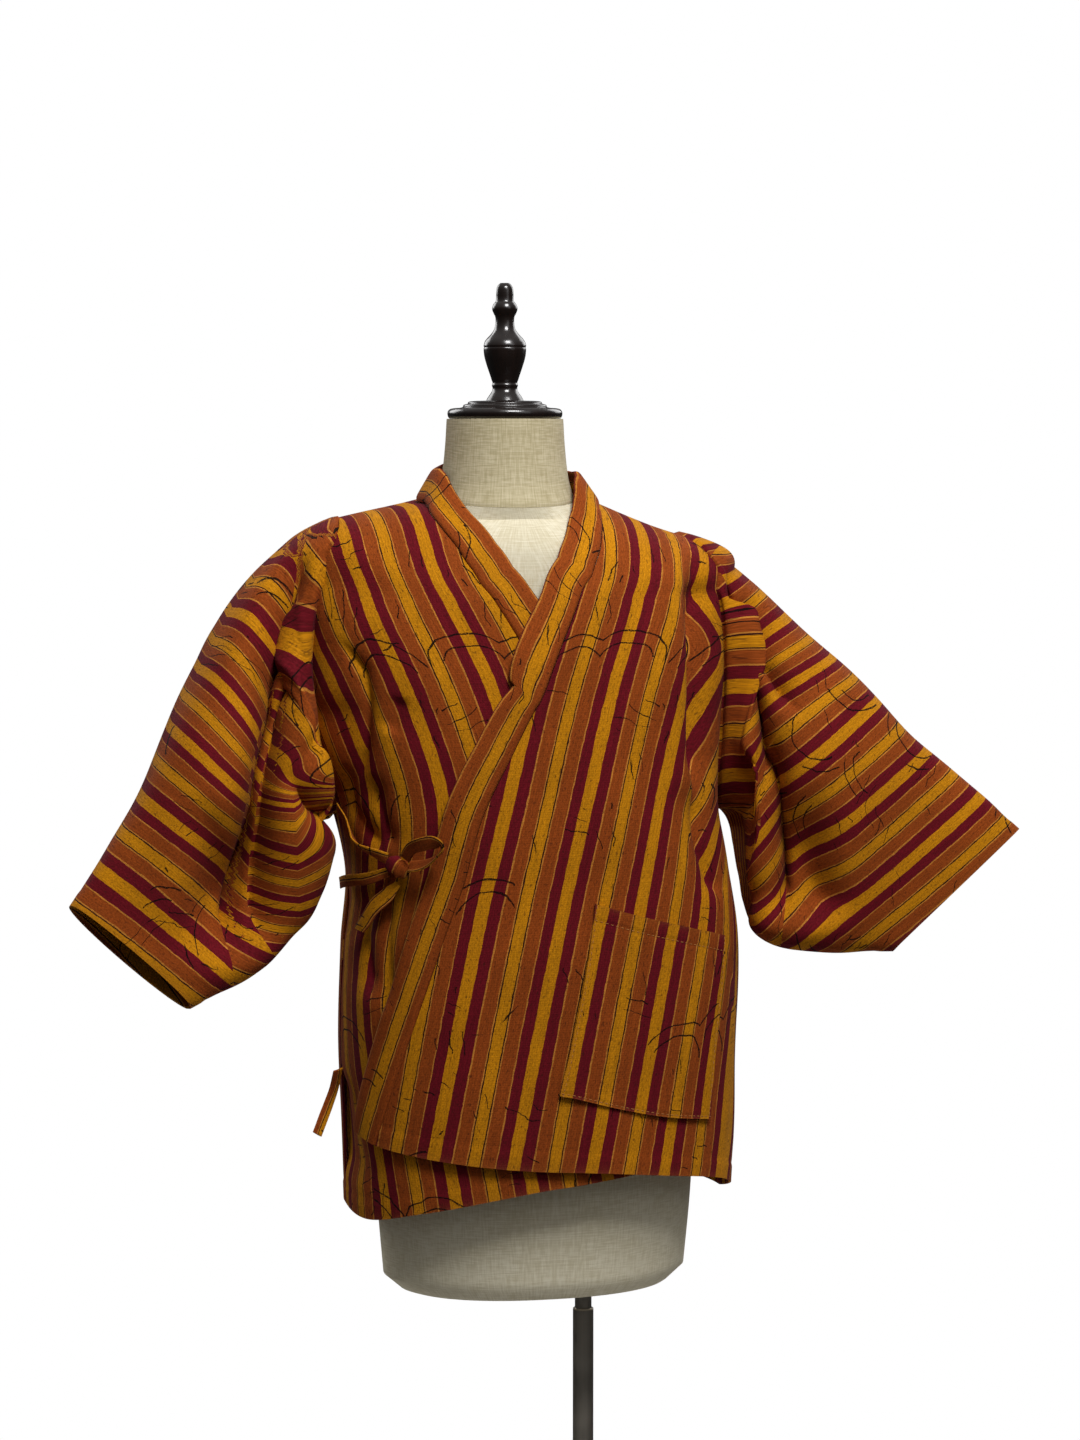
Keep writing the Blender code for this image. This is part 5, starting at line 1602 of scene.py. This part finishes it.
@dataclass(frozen=True)
class TieStrip:
    """One strip of the tie: a soft flattened tube along a path on the body surface."""

    node: str
    path: tuple
    width: float
    end_cut: float
    stripe_at: float
    cut_starts: float = 0.55
    cells: int = 64
    sides: int = 28
    waist: float = 0.0
    curl: float = 0.0009
    curl_length: float = 0.017

    def build(self, finish: Material) -> Object:
        """Build the strip.

        A ring is a superellipse, as wide as the strip and as thick as its folded cloth. The face
        angle turns it about its path, and the far end is cut to a slant.

        Args:
            finish: the cloth's material.

        Returns:
            The new object.
        """
        share = np.linspace(0.0, 1.0, self.cells + 1)
        table = np.column_stack([np.linspace(0.0, 1.0, len(self.path)), np.array(self.path)])
        angle, height, lift, face_angle = smooth_columns(table, share)
        points, normals = SURFACE.laid(angle, height, lift, ())
        along = unit(np.gradient(points, axis=0))
        aside = unit(np.cross(normals, along))
        turn = np.radians(face_angle)[:, None]
        width_way = aside * np.cos(turn) + normals * np.sin(turn)
        thick_way = unit(np.cross(along, width_way))
        around = np.linspace(0.0, math.tau, self.sides, endpoint=False)
        wide = signed_power(np.cos(around), 0.75)[None, :]
        thick = signed_power(np.sin(around), 0.6)[None, :]
        pinch = 1.0 - self.waist * bell(share, 0.16)
        run = run_along(points)
        curl = self.curl * np.sin(run / self.curl_length + 1.0)
        half_width = (self.width / 2 * pinch)[:, None] * wide
        half_thick = TIE_THICKNESS / 2 * thick + curl[:, None] * (wide ** 2 - 0.4)
        cut_share = np.clip((share - self.cut_starts) / (1.0 - self.cut_starts), 0.0, 1.0)
        slant = (self.width * self.end_cut * cut_share)[:, None] * (wide + 1.0) / 2
        rings = (points[:, None, :] + carry(width_way, half_width) + carry(thick_way, half_thick)
                 - carry(along, slant))
        weave = np.stack(np.broadcast_arrays(self.stripe_at + half_width, run[:, None]), axis=-1)
        piece = make_piece(f"{self.node}_cloth", rings, tube_faces(rings), weave, finish,
                           np.tile(np.abs(wide) ** 8, len(share)), sharp=70.0)
        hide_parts(self.node)
        max(self.width, 0.012) * float(run[-1])
        return piece


@dataclass(frozen=True)
class BowKnot:
    """The bow's knot: a strip wrapped once round the crossing, plump, with pinched ends."""

    angle: float = -48.6
    height: float = 1.0390
    lift: float = 0.0102
    size: tuple = (0.0255, 0.0150, 0.0175)
    tilt: float = 28.0
    cells: int = 40
    sides: int = 48
    stripe_at: float = 0.0345

    def build(self, finish: Material) -> Object:
        """Build the knot as a rounded barrel: a superellipse section that narrows to both ends.

        Args:
            finish: the cloth's material.

        Returns:
            The new object.
        """
        point, normal = SURFACE.laid(np.array(self.angle), np.array(self.height), np.array(self.lift), ())
        level = unit(np.cross((0.0, 0.0, 1.0), normal))
        tilt = math.radians(self.tilt)
        along = unit(level * math.cos(tilt) - np.cross(normal, level) * math.sin(tilt))
        across = unit(np.cross(normal, along))
        length, depth, width = (size / 2 for size in self.size)
        share = np.linspace(-1.0, 1.0, self.cells + 1)[:, None]
        around = np.linspace(0.0, math.tau, self.sides, endpoint=False)[None, :]
        girth = np.clip(1.0 - np.abs(share) ** 4.5, 0.0, 1.0) ** 0.5
        girth = girth * (1.0 - 0.10 * np.cos(share * 9.0 + 0.6))
        fold = 1.0 - 0.05 * np.maximum(np.cos(around * 2.0 + 0.9), 0.0) ** 6
        wide = signed_power(np.cos(around), 0.75) * fold
        deep = signed_power(np.sin(around), 0.75) * fold
        rings = (point + along * (share * length)[..., None] + across * (girth * wide * width)[..., None]
                 + normal * (girth * deep * depth)[..., None])
        weave = np.stack(np.broadcast_arrays(self.stripe_at + share * length, around * width), axis=-1)
        piece = make_piece("tie_knot_cloth", rings, tube_faces(rings), weave, finish,
                           sharp=80.0)
        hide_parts("tie_knot")
        return piece


@dataclass(frozen=True)
class Turning:
    """A turned piece: a profile of radii and heights spun round an upright axis."""

    profile: tuple
    centre: tuple
    sides: int = 96
    softening: int = 3

    def outline(self) -> Array:
        """The profile with its corners cut: each span keeps its middle half, a few times over.

        Returns:
            Radii and heights, on a last axis.
        """
        line = np.asarray(self.profile, dtype=float)
        for _ in range(self.softening):
            near, far = line[:-1], line[1:]
            cut = np.stack([near * 0.75 + far * 0.25, near * 0.25 + far * 0.75], axis=1).reshape(-1, 2)
            line = np.vstack([line[:1], cut, line[-1:]])
        return line

    def build(self, name: str, finish: Material, slot: str) -> Object:
        """Spin the profile and close both ends.

        Args:
            name: the object's name.
            finish: its material.
            slot: not used.

        Returns:
            The new object.
        """
        radii, heights = self.outline().T[:, :, None]
        turn = np.linspace(0.0, math.tau, self.sides, endpoint=False)[None, :]
        points = np.broadcast_arrays(self.centre[0] + radii * np.cos(turn),
                                     self.centre[1] + radii * np.sin(turn), heights)
        return build_rings(name, np.stack(points, axis=-1), finish)


def build_rings(name: str, rings: Array, finish: Material) -> Object:
    """Make a closed piece over rings of equal count, from the bottom up, with a face on each end.

    Args:
        name: the object's name.
        rings: the rings' points.
        finish: its material.

    Returns:
        The new object.
    """
    girth = np.linalg.norm(rings - rings.mean(axis=1, keepdims=True), axis=-1).mean()
    # Mirrored halves, so that the coordinate has no jump where the ring closes.
    turn = np.abs(np.linspace(-math.pi, math.pi, rings.shape[1], endpoint=False))
    weave = np.stack(np.broadcast_arrays(girth * turn[None, :], run_along(rings[:, 0])[:, None]), axis=-1)
    return make_piece(name, rings, tube_faces(rings), weave, finish, sharp=40.0)


@dataclass(frozen=True)
class DressForm:
    """The linen form: a torso inside the jacket and a neck with a sewn seam at its base."""

    bottom: float = 0.615
    bottom_edge: float = 0.012
    foot_share: float = 0.90
    ridge_clearance: float = 0.005
    ridge_angle: float = 30.0
    seam_height: float = 1.3885
    seam_tilt: float = 0.10
    seam_dent: float = 0.0010
    neck_profile: tuple = ((0.0700, 0.0000), (0.0672, 0.0070), (0.0635, 0.0190), (0.0615, 0.0320),
                           (0.0595, 0.0520), (0.0578, 0.0795))
    sides: int = 128

    def neck_rings(self, radii: Array, rises: Array) -> Array:
        """Rings round the neck's axis: its seam tilts down to the front, and its top is level.

        Args:
            radii: the rings' radii.
            rises: their heights over the seam.

        Returns:
            The rings' points.
        """
        turn = np.radians(np.linspace(-180.0, 180.0, self.sides, endpoint=False))[None, :]
        radii, rises = radii[:, None], rises[:, None]
        tilt = self.seam_tilt * (1.0 - rises / self.neck_profile[-1][1])
        depth = -radii * np.cos(turn)
        return np.stack([NECK_CENTRE[0] + radii * np.sin(turn), NECK_CENTRE[1] + depth,
                         self.seam_height + rises + tilt * depth], axis=-1)

    def build_torso(self, finish: Material) -> Object:
        """Build the torso: the jacket's surface moved inwards, closed below and at the neck seam.

        Args:
            finish: the linen's material.

        Returns:
            The new object.
        """
        heights = np.concatenate([np.linspace(self.bottom, SHOULDER_HEIGHT, 90)[:-1],
                                  NECK_HEIGHT - (NECK_HEIGHT - SHOULDER_HEIGHT)
                                  * np.linspace(1.0, 0.0, 14) ** OVER_CROWDING])
        angles = np.linspace(-180.0, 180.0, self.sides, endpoint=False)[None, :]
        from_ridge = smooth_step(np.abs(90.0 - np.abs(angles)) / self.ridge_angle)
        insets = smooth_rows(FORM_INSETS, heights)[:, :1] + self.ridge_clearance * from_ridge
        angles, heights = np.broadcast_arrays(angles, heights[:, None])
        points = SURFACE.point(angles, heights) - SURFACE.normal(angles, heights) * insets[..., None]
        centre = points[0].mean(axis=0)
        foot = centre + (points[0] - centre) * self.foot_share
        foot[:, 2] = self.bottom - self.bottom_edge
        top = self.neck_rings(np.array([self.neck_profile[0][0]]), np.array([-SEAM_GAP]))
        piece = build_rings("dress_form_torso", np.concatenate([foot[None], points, top]), finish)
        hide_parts("form_torso")
        return piece

    def build_neck(self, finish: Material) -> Object:
        """Build the neck: its smooth profile, with the cloth drawn in along the base seam.

        Args:
            finish: the linen's material.

        Returns:
            The new object.
        """
        share = np.linspace(0.0, self.neck_profile[-1][1], 60)
        profile = tuple((rise, radius) for radius, rise in self.neck_profile)
        radii = smooth_rows(profile, share)[:, 0] - self.seam_dent * bell(share, 0.0016)
        piece = build_rings("dress_form_neck", self.neck_rings(radii, share), finish)
        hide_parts("form_neck")
        return piece


@dataclass(frozen=True)
class TurnedTop:
    """The neck's cap and the finial on it, both turned wood."""

    cap: tuple = (
        (0.0550, 1.4683), (0.0565, 1.4700), (0.0572, 1.4735), (0.0562, 1.4765), (0.0530, 1.4785),
        (0.0415, 1.4790), (0.0415, 1.4820), (0.0365, 1.4828), (0.0365, 1.4855), (0.0190, 1.4860),
    )
    finial: tuple = (
        (0.0185, 1.4863), (0.0165, 1.4900), (0.0128, 1.4950), (0.0120, 1.4985), (0.0132, 1.5010),
        (0.0120, 1.5035), (0.0132, 1.5060), (0.0140, 1.5090), (0.0175, 1.5190), (0.0205, 1.5290),
        (0.0212, 1.5370), (0.0205, 1.5385), (0.0213, 1.5400), (0.0195, 1.5455), (0.0130, 1.5520),
        (0.0095, 1.5580), (0.0090, 1.5680), (0.0112, 1.5715), (0.0130, 1.5765), (0.0112, 1.5815),
        (0.0086, 1.5835), (0.0086, 1.5935), (0.0078, 1.5985), (0.0045, 1.6015),
    )

    def build(self, finish: Material) -> None:
        """Build the cap and the finial.

        Args:
            finish: the wood's material.
        """
        cap = Turning(self.cap, NECK_CENTRE, sides=128, softening=2)
        cap = cap.build("turned_cap", finish, "turned_wood")
        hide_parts("neck_cap")
        top = Turning(self.finial, NECK_CENTRE, softening=2)
        top = top.build("turned_finial", finish, "turned_wood")
        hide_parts("finial")


@dataclass(frozen=True)
class Stand:
    """The pole under the form, in two tubes, and its round base."""

    pole_radius: float = 0.0085
    lower_radius: float = 0.0105
    lower_top: float = 0.566
    plate_radius: float = 0.032
    plate_bottom: float = 0.5967
    plate_thickness: float = 0.006
    base_radius: float = 0.165
    hub_radius: float = 0.026
    hub_height: float = 0.060

    def build(self, finish: Material) -> None:
        """Build the pole and the base.

        Args:
            finish: the metal's material.
        """
        thin, thick, wide = self.pole_radius, self.lower_radius, self.plate_radius
        foot, joint, plate = self.hub_height + SEAM_GAP, self.lower_top, self.plate_bottom
        pole = ((thick, foot), (thick, foot + 0.002), (thick, joint - 0.002), (thick, joint), (thin, joint),
                (thin, joint + 0.002), (thin, plate - 0.001), (thin, plate), (wide, plate),
                (wide, plate + self.plate_thickness))
        piece = Turning(pole, (0.0, 0.0), sides=64, softening=1)
        piece = piece.build("stand_pole_tube", finish, "stand_metal")
        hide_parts("stand_pole")
        rim, hub = self.base_radius, self.hub_radius
        base = ((rim, 0.0), (rim, 0.006), (rim - 0.001, 0.008), (hub + 0.004, 0.0158), (hub, 0.016),
                (hub * 0.96, 0.020), (hub * 0.77, 0.056), (hub * 0.75, self.hub_height))
        piece = Turning(base, (0.0, 0.0), sides=128, softening=1)
        piece = piece.build("stand_base_disc", finish, "stand_metal")
        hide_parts("stand_base")


@dataclass(frozen=True)
class Studio:
    """The camera at the photograph's angle, soft lights and a pale floor."""

    turn: float = -12.0
    pitch: float = 4.9
    distance: float = 3.30
    aside: float = -0.044
    eye_height: float = 1.45
    focal_pixels: float = 3300.0
    picture_height: float = 1440.0
    film_size: float = 36.0
    floor_radius: float = 0.75
    chest: tuple = (-0.06, 0.0, 1.05)
    lights: tuple = (
        # name, place, size, power
        ("key", (0.2, -1.6, 3.1), 0.9, 60.0), ("fill", (1.2, -2.4, 2.4), 1.4, 5.0),
        ("back_left", (-1.8, 2.4, 2.6), 1.8, 34.0), ("back_right", (2.2, 1.8, 2.6), 1.8, 26.0),
    )

    @staticmethod
    def place(thing: Object, right: Array, upward: Array, back: Array, place: Array) -> None:
        """Turn and place a camera or light by its own three directions."""
        matrix = np.vstack([np.column_stack([right, upward, back, place]), (0.0, 0.0, 0.0, 1.0)])
        thing.matrix_world = Matrix(matrix.tolist())

    def build_camera(self) -> None:
        """Place the camera: level with the chest, turned to the jacket's right, tipped down a little."""
        turn, pitch = math.radians(self.turn), math.radians(self.pitch)
        right = np.array([math.cos(turn), math.sin(turn), 0.0])
        back = np.array([math.sin(turn), -math.cos(turn), 0.0])
        ahead = -back * math.cos(pitch) - np.array([0.0, 0.0, math.sin(pitch)])
        lens = bpy.data.cameras.new("camera")
        lens.sensor_width = self.film_size
        lens.lens = self.film_size * self.focal_pixels / self.picture_height
        lens.clip_start, lens.clip_end = 0.1, 100.0
        camera = add_object("camera", lens)
        place = right * self.aside + back * self.distance + np.array([0.0, 0.0, self.eye_height])
        self.place(camera, right, np.cross(right, ahead), -ahead, place)
        bpy.context.scene.camera = camera

    def build_light(self, name: str, place: tuple, size: float, power: float) -> None:
        """Add a square soft light that faces the jacket's chest.

        Args:
            name: the light's name.
            place: where it stands.
            size: the length of its side.
            power: its power in watts.
        """
        data = bpy.data.lights.new(name, "AREA")
        data.size, data.energy = size, power
        away = unit(np.array(place) - self.chest)
        side = unit(np.cross((0.0, 0.0, 1.0), away))
        self.place(add_object(name, data), side, np.cross(away, side), away, place)

    def build(self) -> None:
        """Build the floor, the camera, the lights and the even surrounding light."""
        mesh = bpy.data.meshes.new("studio_floor")
        turn = np.linspace(0.0, math.tau, 128, endpoint=False)
        rim = np.stack([np.cos(turn), np.sin(turn), 0.0 * turn], axis=-1) * self.floor_radius
        mesh.from_pydata(rim.tolist(), [], [list(range(len(rim)))])
        mesh.materials.append(PaleFloor().build())
        floor = add_object("studio_floor", mesh)
        floor.location.z = -0.0005
        self.build_camera()
        for light in self.lights:
            self.build_light(*light)
        self.build_world()
        bpy.context.scene.view_settings.view_transform = "Standard"

    @staticmethod
    def build_world() -> None:
        """Light from all round, stronger from above; the backdrop itself is seen as plain white."""
        world = bpy.data.worlds.new("soft_light")
        bpy.context.scene.world = world
        world.use_nodes = True
        tree = world.node_tree
        way = add_node(tree, "ShaderNodeTexCoord").outputs["Generated"]
        up = add_node(tree, "ShaderNodeSeparateXYZ", {0: way}).outputs[2]
        sky = add_node(tree, "ShaderNodeMapRange", {0: up, 1: 0.0, 2: 1.0, 3: 0.03, 4: 0.42}).outputs[0]
        white = from_hex("#FFFFFF")
        light = add_node(tree, "ShaderNodeBackground", {"Strength": sky, "Color": white}).outputs[0]
        backdrop = tree.nodes["Background"]
        feed(tree, backdrop, {"Color": white})
        seen = add_node(tree, "ShaderNodeLightPath").outputs["Is Camera Ray"]
        both = add_node(tree, "ShaderNodeMixShader", {0: seen, 1: light, 2: backdrop.outputs[0]})
        feed(tree, tree.nodes["World Output"], {"Surface": both.outputs[0]})


LEFT_GRAIN = PanelGrain(Side.LEFT, (
    # height, x, lean in degrees
    (0.690, -0.1290, 10.0), (0.757, -0.1167, 10.6), (0.9085, -0.0877, 11.5), (1.100, -0.0462, 12.5),
    (1.1925, -0.0237, 15.0), (1.2995, 0.0104, 14.0), (1.346, 0.0241, 5.0), (1.360, 0.0279, 0.0),
    (1.372, 0.0300, 0.0), (1.385, 0.0300, 0.0),
), 0.0, (
    # height, x of the fold, how fully the stripes lean past it
    (0.600, 0.100, 0.0), (1.000, 0.100, 0.0), (1.050, 0.076, 0.6), (1.090, 0.076, 1.0), (1.200, 0.073, 1.0),
    (1.240, 0.073, 1.0), (1.290, 0.074, 0.3), (1.315, 0.072, 0.0), (1.385, 0.070, 0.0),
), (0.100, 1.189, 0.0910, 0.90, -0.457))
RIGHT_GRAIN = PanelGrain(Side.RIGHT, (
    # height, x, lean in degrees
    (0.690, -0.0965, 8.0), (0.966, -0.1280, 7.0), (1.040, -0.1120, 0.0), (1.1134, -0.1110, 14.0),
    (1.167, -0.1250, 20.0), (1.2083, -0.1396, 23.0), (1.3014, -0.1770, 24.0), (1.3456, -0.1913, 14.0),
    (1.360, -0.1940, 0.0), (1.3738, -0.1965, 0.0), (1.385, -0.1965, 0.0),
), 0.0333)
RIGHT_SLEEVE_GRAIN = SleeveGrain((
    GrainStrip((
        # height, top edge, valley, millimetres across the stripes at the edge and at the valley
        (0.90, -0.545, -0.340, -356.0, -236.0), (0.95, -0.515, -0.336, -304.0, -197.0),
        (1.00, -0.487, -0.332, -252.0, -157.0), (1.05, -0.459, -0.327, -200.0, -116.0),
        (1.10, -0.432, -0.322, -144.0, -67.0), (1.15, -0.407, -0.318, -85.0, -13.0),
        (1.20, -0.384, -0.311, -22.0, 42.0), (1.25, -0.360, -0.307, 49.0, 87.0),
        (1.30, -0.331, -0.295, 117.0, 132.0), (1.36, -0.285, -0.270, 200.0, 186.0),
    ), 0.007),
    GrainStrip((
        # height, valley, second fold, millimetres across the stripes at both
        (0.90, -0.340, -0.290, -205.0, -187.0), (0.95, -0.336, -0.299, -161.0, -143.0),
        (1.00, -0.332, -0.306, -117.0, -99.0), (1.05, -0.327, -0.307, -76.0, -58.0),
        (1.10, -0.322, -0.305, -29.0, -11.0), (1.15, -0.318, -0.298, 16.0, 34.0),
        (1.20, -0.311, -0.288, 66.0, 84.0), (1.25, -0.307, -0.273, 136.0, 154.0),
        (1.30, -0.295, -0.259, 192.0, 210.0), (1.36, -0.270, -0.240, 246.0, 264.0),
    )),
    GrainStrip((
        # height, second fold, underarm's middle, millimetres across the stripes at both
        (0.90, -0.290, -0.262, -364.0, -363.0), (0.95, -0.299, -0.270, -286.0, -285.0),
        (1.00, -0.306, -0.272, -208.0, -207.0), (1.05, -0.307, -0.272, -135.0, -129.0),
        (1.10, -0.305, -0.272, -68.0, -59.0), (1.12, -0.302, -0.272, -36.0, 5.0),
        (1.15, -0.298, -0.272, 2.0, 27.0), (1.20, -0.288, -0.272, 40.0, 59.0),
        (1.25, -0.280, -0.272, 76.0, 82.0), (1.30, -0.280, -0.272, 100.0, 107.0),
        (1.36, -0.280, -0.272, 131.0, 140.0),
    )),
    GrainStrip((
        # height, underarm's middle, armhole, millimetres across the stripes at both
        (0.90, -0.262, -0.232, -363.0, -385.0), (0.95, -0.270, -0.232, -285.0, -310.0),
        (1.00, -0.272, -0.232, -207.0, -234.0), (1.05, -0.272, -0.232, -129.0, -169.0),
        (1.10, -0.272, -0.232, -59.0, -100.0), (1.12, -0.272, -0.232, 5.0, 40.0),
        (1.15, -0.272, -0.232, 27.0, 72.0), (1.20, -0.272, -0.232, 59.0, 97.0),
        (1.25, -0.272, -0.232, 82.0, 124.0), (1.30, -0.272, -0.232, 107.0, 140.0),
        (1.36, -0.272, -0.232, 140.0, 160.0),
    )),
), 0, 0.70)
LEFT_SLEEVE_GRAIN = SleeveGrain((
    GrainStrip((
        # height, armhole, valley, millimetres across the stripes at both
        (0.90, 0.100, 0.197, -57.9, -143.4), (0.96, 0.100, 0.197, -6.2, -91.6),
        (1.02, 0.100, 0.197, 45.4, -39.5), (1.08, 0.100, 0.193, 97.1, 15.3),
        (1.14, 0.100, 0.183, 148.7, 75.7), (1.20, 0.100, 0.168, 200.4, 140.6),
        (1.26, 0.100, 0.160, 252.1, 199.3), (1.32, 0.100, 0.133, 303.7, 274.7),
        (1.36, 0.100, 0.112, 338.2, 328.0),
    )),
    GrainStrip((
        # height, valley, top edge, millimetres across the stripes at both
        (0.90, 0.197, 0.600, 67.7, -205.5), (0.96, 0.197, 0.535, 116.8, -111.4),
        (1.02, 0.197, 0.475, 166.2, -20.7), (1.08, 0.193, 0.410, 216.9, 73.4),
        (1.14, 0.183, 0.342, 271.6, 169.6), (1.20, 0.168, 0.283, 328.9, 259.3),
        (1.26, 0.160, 0.218, 402.2, 370.2), (1.32, 0.133, 0.146, 479.0, 474.6),
        (1.36, 0.112, 0.118, 532.0, 540.0),
    )),
), 1, -0.70)
RIGHT_VALLEY = (
    (-0.290, 1.361), (-0.322, 1.300), (-0.337, 1.238), (-0.339, 1.190), (-0.346, 1.147),
    (-0.351, 1.104), (-0.356, 1.046), (-0.362, 0.983), (-0.366, 0.945),
)
LEFT_VALLEY = (
    (0.115, 1.324), (0.125, 1.296), (0.141, 1.264), (0.143, 1.226), (0.151, 1.196),
    (0.160, 1.160), (0.171, 1.123), (0.177, 1.068), (0.179, 1.027), (0.180, 0.960),
)
RIGHT_SLEEVE_CREASES = (
    Crease(Wall.FRONT, RIGHT_VALLEY, -0.046, 0.012, CreaseShape.SHARP, run_in=0.10, run_out=0.10),
    Crease(Wall.FRONT, RIGHT_VALLEY[::-1], -0.024, 0.006, CreaseShape.STEP, run_in=0.10, run_out=0.20),
    Crease(Wall.FRONT, ((-0.278, 1.322), (-0.292, 1.284), (-0.302, 1.243), (-0.316, 1.200), (-0.327, 1.142),
                        (-0.333, 1.090), (-0.335, 1.036), (-0.332, 0.978), (-0.327, 0.954)),
           -0.024, 0.008, CreaseShape.SHARP, run_in=0.15, run_out=0.10),
    Crease(Wall.FRONT, ((-0.222, 1.072), (-0.250, 1.076), (-0.280, 1.092), (-0.299, 1.116), (-0.312, 1.135)),
           -0.024, 0.010, CreaseShape.SHARP, run_in=0.0, run_out=0.4),
    Crease(Wall.FRONT, ((-0.250, 1.190), (-0.290, 1.151), (-0.316, 1.108)), -0.008, 0.012),
    Crease(Wall.FRONT, ((-0.392, 1.120), (-0.398, 1.040), (-0.418, 0.950)), -0.007, 0.016),
    Crease(Wall.FRONT, ((-0.366, 1.110), (-0.374, 1.040), (-0.380, 0.985), (-0.388, 0.935)), -0.052, 0.030,
           run_in=0.6, run_out=0.45),
    Crease(Wall.BACK, ((-0.330, 1.270), (-0.370, 1.020)), -0.012, 0.022),
)
LEFT_SLEEVE_CREASES = (
    Crease(Wall.FRONT, LEFT_VALLEY, -0.040, 0.012, CreaseShape.SHARP, run_in=0.10, run_out=0.10),
    Crease(Wall.FRONT, LEFT_VALLEY, -0.016, 0.006, CreaseShape.STEP, run_in=0.20, run_out=0.10),
    Crease(Wall.FRONT, ((0.150, 1.300), (0.162, 1.277), (0.169, 1.233), (0.188, 1.196), (0.200, 1.170)),
           -0.024, 0.010, CreaseShape.SHARP, run_in=0.15, run_out=0.3),
    Crease(Wall.FRONT, ((0.128, 1.150), (0.130, 1.123), (0.130, 1.049), (0.125, 0.995), (0.122, 0.950)),
           -0.022, 0.009, CreaseShape.SHARP, run_in=0.2, run_out=0.2),
    Crease(Wall.FRONT, ((0.200, 1.130), (0.215, 1.050), (0.216, 0.970)), -0.006, 0.020),
    Crease(Wall.FRONT, ((0.190, 1.110), (0.205, 1.020), (0.225, 0.960)), -0.026, 0.026,
           run_in=0.5, run_out=0.2),
    Crease(Wall.BACK, ((0.150, 1.250), (0.200, 1.010)), -0.012, 0.022),
)
TIE_STRIPS = (
    # node, (angle, height, lift, face_angle) along the path, width, end cut, place in the stripes
    TieStrip("tie_loop", (
        (-44.6, 1.0485, 0.0130, 5.0), (-40.5, 1.0600, 0.0190, 8.0), (-36.5, 1.0655, 0.0260, 8.0),
        (-32.0, 1.0690, 0.0320, 15.0), (-29.3, 1.0665, 0.0350, 60.0), (-30.4, 1.0585, 0.0310, 95.0),
        (-34.0, 1.0500, 0.0240, 75.0), (-39.0, 1.0430, 0.0170, 55.0), (-43.6, 1.0405, 0.0130, 50.0),
    ), 0.014, 0.0, 0.0415, waist=0.20),
    TieStrip("tie_side_tail", (
        (-53.2, 1.0335, 0.0105, 0.0), (-63.0, 1.0250, 0.0115, -5.0), (-72.7, 1.0205, 0.0115, -5.0),
        (-82.0, 1.0160, 0.0110, 0.0), (-89.5, 1.0110, 0.0100, 0.0),
    ), 0.012, 0.6, 0.0605, waist=0.2),
    TieStrip("tie_hanging_tail", (
        (-49.8, 1.0218, 0.0100, 0.0), (-54.8, 1.0085, 0.0105, 0.0), (-60.6, 0.9960, 0.0105, 0.0),
        (-65.4, 0.9810, 0.0090, 0.0), (-70.6, 0.9670, 0.0070, 0.0),
    ), 0.016, 0.7, 0.0540, waist=0.55),
    TieStrip("tie_from_side_seam", (
        (-78.4, 1.0900, 0.0040, 0.0), (-72.0, 1.0830, 0.0075, 10.0), (-69.5, 1.0740, 0.0090, 30.0),
        (-67.5, 1.0640, 0.0110, 45.0), (-63.5, 1.0565, 0.0120, 40.0), (-57.4, 1.0515, 0.0115, 20.0),
        (-52.2, 1.0470, 0.0110, 0.0),
    ), 0.012, 0.0, 0.0440),
    TieStrip("tie_inner_end", (
        (-84.0, 0.8280, 0.0082, 65.0), (-86.5, 0.8090, 0.0110, 65.0), (-86.1, 0.7930, 0.0180, 70.0),
        (-84.5, 0.7790, 0.0260, 75.0), (-83.0, 0.7640, 0.0345, 75.0),
    ), 0.012, 0.5, 0.0600),
)


def main() -> None:
    """Build the studio, the form and the jacket."""
    logging.basicConfig(level=logging.INFO, format="%(name)s: %(message)s")
    Studio().build()
    cotton = StripedCotton().build()
    thread = CottonThread().build()
    neck_linen = Linen("beige_linen", "#CBBF9E", "#AFA27E").build()
    torso_linen = Linen("pale_linen", "#E0D8C0", "#CBC0A2").build()
    form = DressForm()
    form.build_torso(torso_linen)
    form.build_neck(neck_linen)
    TurnedTop().build(LacqueredWood().build())
    Stand().build(SatinSteel().build())
    left = BodyPanel(Side.LEFT, LEFT_FRONT_EDGE, LEFT_FRONT_HEM, LEFT_GRAIN, BODY_CREASES)
    right = BodyPanel(Side.RIGHT, RIGHT_FRONT_EDGE, RIGHT_FRONT_HEM, RIGHT_GRAIN, BODY_CREASES, seed=4)
    left.build(cotton)
    right.build(cotton)
    Sleeve(Side.LEFT, LEFT_SLEEVE, left, LEFT_SLEEVE_GRAIN, LEFT_SLEEVE_CREASES, seed=5).build(cotton)
    Sleeve(Side.RIGHT, RIGHT_SLEEVE, right, RIGHT_SLEEVE_GRAIN, RIGHT_SLEEVE_CREASES, seed=6).build(cotton)
    NeckBand(left, right).build(cotton)
    PatchPocket(left).build(cotton, thread)
    BowKnot().build(cotton)
    for strip in TIE_STRIPS:
        strip.build(cotton)


if __name__ == "__main__":
    main()
